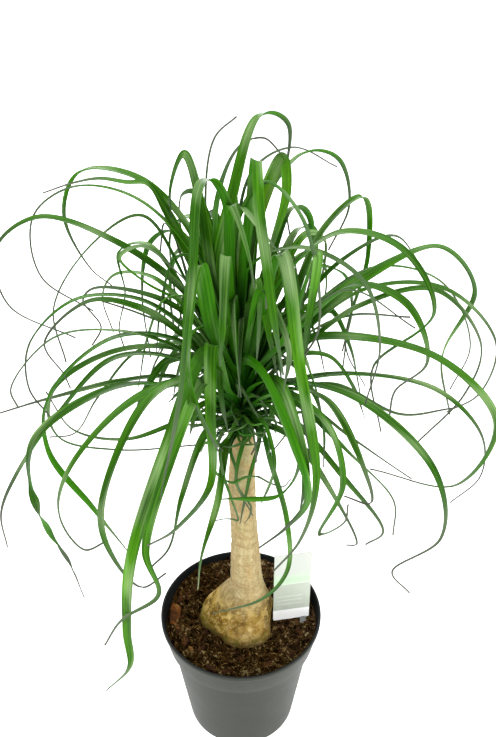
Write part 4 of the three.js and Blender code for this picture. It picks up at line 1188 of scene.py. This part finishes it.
def stood_up(name, outline, material, corner=0):
    """A flat outline in X and Z, rounded and made a sheet, and stood where the label stands."""
    bm = bmesh.new()
    bm.faces.new([bm.verts.new((x * MM, 0, z * MM)) for x, z in outline])
    if corner:
        bmesh.ops.bevel(
            bm, geom=bm.verts[:], offset=corner * MM, affect="VERTICES", segments=5, profile=0.5, material=-1
        )
    bmesh.ops.solidify(bm, geom=bm.faces[:], thickness=CARD_THICK * MM)
    bmesh.ops.recalc_face_normals(bm, faces=bm.faces)
    bmesh.ops.translate(bm, verts=bm.verts, vec=(0, -0.5 * CARD_THICK * MM, 0))
    uv = bm.loops.layers.uv.new("card")
    for face in bm.faces:
        for loop in face.loops:
            at = loop.vert.co / MM
            loop[uv].uv = (at.x / CARD_WIDTH, (at.z - CARD_FOOT) / CARD_HEIGHT)
    corner_place = Matrix.Translation((CARD_LEFT[0] * MM, CARD_LEFT[1] * MM, 0))
    turn = corner_place @ Matrix.Rotation(math.radians(CARD_TURN), 4, "Z")
    bmesh.ops.transform(bm, matrix=turn, verts=bm.verts)
    piece = make_piece(name, bm, material, smooth=False)
    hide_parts("plant_label")


card_skin, tree, shader = surface("printed_card", Specular_IOR_Level=0.5)
card = node(tree, "UVMap", uv_map="card").outputs[0]
u, v = node(tree, "SeparateXYZ", {0: card}).outputs[:2]
place = node(tree, "TexCoord").outputs["Object"]
paper = mottled(tree, place, 160, 1.2)


def strip(low, high, soft=0.004):
    """A mask that is 1 between two heights of the card."""
    rise = node(tree, "MapRange", {0: v, 1: low - soft, 2: low + soft}).outputs[0]
    fall = node(tree, "MapRange", {0: v, 1: high + soft, 2: high - soft}).outputs[0]
    return maths(tree, "MULTIPLY", rise, fall)


white = mix(tree, paper["Cloud"], "#fbfcfa", "#ffffff")
white = mix(tree, eased(tree, v, 0.5, 0.75), white, "#c0c4bc")
color = mix(tree, maths(tree, "MULTIPLY", strip(*WASH, 0.06), 0.7), white, "#9cc492")
color = mix(tree, strip(*BAND), color, mix(tree, paper["Cloud"], "#adb5a7", "#bac2b3"))
left_end = node(tree, "MapRange", {0: u, 1: 0.1, 2: 0.12}).outputs[0]
right_end = node(tree, "MapRange", {0: u, 1: 0.8, 2: 0.78}).outputs[0]
inset = maths(tree, "MULTIPLY", left_end, right_end)
for low in LINES:
    line = maths(tree, "MULTIPLY", strip(low, low + LINE_HEIGHT, 0.002), inset)
    color = mix(tree, maths(tree, "MULTIPLY", line, 0.6), color, "#e4e8e0")
rough = maths(tree, "MULTIPLY_ADD", paper["Speck"], 0.12, 0.34)
finish_surface(tree, shader, color, rough, paper["Height"], 0.00005)
card_top = CARD_FOOT + CARD_HEIGHT
outline = [(0, CARD_FOOT), (CARD_WIDTH, CARD_FOOT), (CARD_WIDTH, card_top), (0, card_top)]
stood_up("label_card", outline, card_skin, CARD_CORNER)

stake_skin, tree, shader = surface("label_stake", Specular_IOR_Level=0.5)
place = node(tree, "TexCoord").outputs["Object"]
soiled = mottled(tree, place, 120, 1.8)
color = mix(tree, soiled["Cloud"], "#c9ccca", "#8f9490")
rough = maths(tree, "MULTIPLY_ADD", soiled["Speck"], 0.2, 0.35)
finish_surface(tree, shader, color, rough, soiled["Height"], 0.0001)
middle, half = STAKE_PLACE * CARD_WIDTH, STAKE_WIDTH / 2
outline = [
    (middle - half, CARD_FOOT + STAKE_LAP), (middle - half, STAKE_FOOT + STAKE_POINT), (middle, STAKE_FOOT),
    (middle + half, STAKE_FOOT + STAKE_POINT), (middle + half, CARD_FOOT + STAKE_LAP),
]
stood_up("label_stake", outline, stake_skin)

# Stage: a plain white floor that runs out of view, four soft lights, the strongest in front at the left, and
# a camera that looks down on the plant as the photographer's did.
FLOOR_HALF = 4.0  # sizes and places here are in metres
FLOOR_MIDDLE = (0, 2.0, 0)
FLOOR_GLOW = 0.9
SKY_STRENGTH = 0.4
CAMERA_PLACE = (0.0075, -0.631, 0.921)
CAMERA_PITCH = 54.5
CAMERA_LENS = 43.96
SENSOR_WIDTH = 36
floor_skin, tree, shader = surface("studio_floor", Roughness=0.9, Specular_IOR_Level=0.0)
shader.inputs["Base Color"].default_value = (0.9, 0.9, 0.9, 1)
shader.inputs["Emission Color"].default_value = (1, 1, 1, 1)
shader.inputs["Emission Strength"].default_value = FLOOR_GLOW
bm = bmesh.new()
bmesh.ops.create_grid(bm, x_segments=1, y_segments=1, size=FLOOR_HALF)
mesh = bpy.data.meshes.new("floor")
bm.to_mesh(mesh)
bm.free()
mesh.materials.append(floor_skin)
floor = bpy.data.objects.new("floor", mesh)
floor.location = FLOOR_MIDDLE
bpy.context.scene.collection.objects.link(floor)

world = bpy.data.worlds.new("studio")
world.use_nodes = True
world.node_tree.nodes["Background"].inputs["Color"].default_value = (1, 1, 1, 1)
world.node_tree.nodes["Background"].inputs["Strength"].default_value = SKY_STRENGTH
bpy.context.scene.world = world


def softbox(name, place, aim, size, power):
    """A square light at a place, turned to a point."""
    light = bpy.data.lights.new(name, "AREA")
    light.size = size
    light.energy = power
    lamp = bpy.data.objects.new(name, light)
    lamp.location = place
    lamp.rotation_euler = (Vector(aim) - Vector(place)).to_track_quat("-Z", "Y").to_euler()
    bpy.context.scene.collection.objects.link(lamp)


softbox("key_light", (-0.7, -1.3, 1.7), (0, 0, 0.35), 0.9, 24)
softbox("fill_light", (1.1, -1.1, 1.2), (0, 0, 0.3), 0.9, 19)
softbox("top_light", (0.1, 0.5, 1.9), (0, 0, 0.4), 1.0, 15)
softbox("back_light", (-0.3, 1.5, 0.7), (0, 0, 0.3), 0.9, 12)

camera_data = bpy.data.cameras.new("camera")
camera_data.lens = CAMERA_LENS
camera_data.sensor_width = SENSOR_WIDTH
camera = bpy.data.objects.new("camera", camera_data)
camera.location = CAMERA_PLACE
camera.rotation_euler = (math.radians(CAMERA_PITCH), 0, 0)
bpy.context.scene.collection.objects.link(camera)
bpy.context.scene.camera = camera
bpy.context.scene.view_settings.view_transform = "Standard"
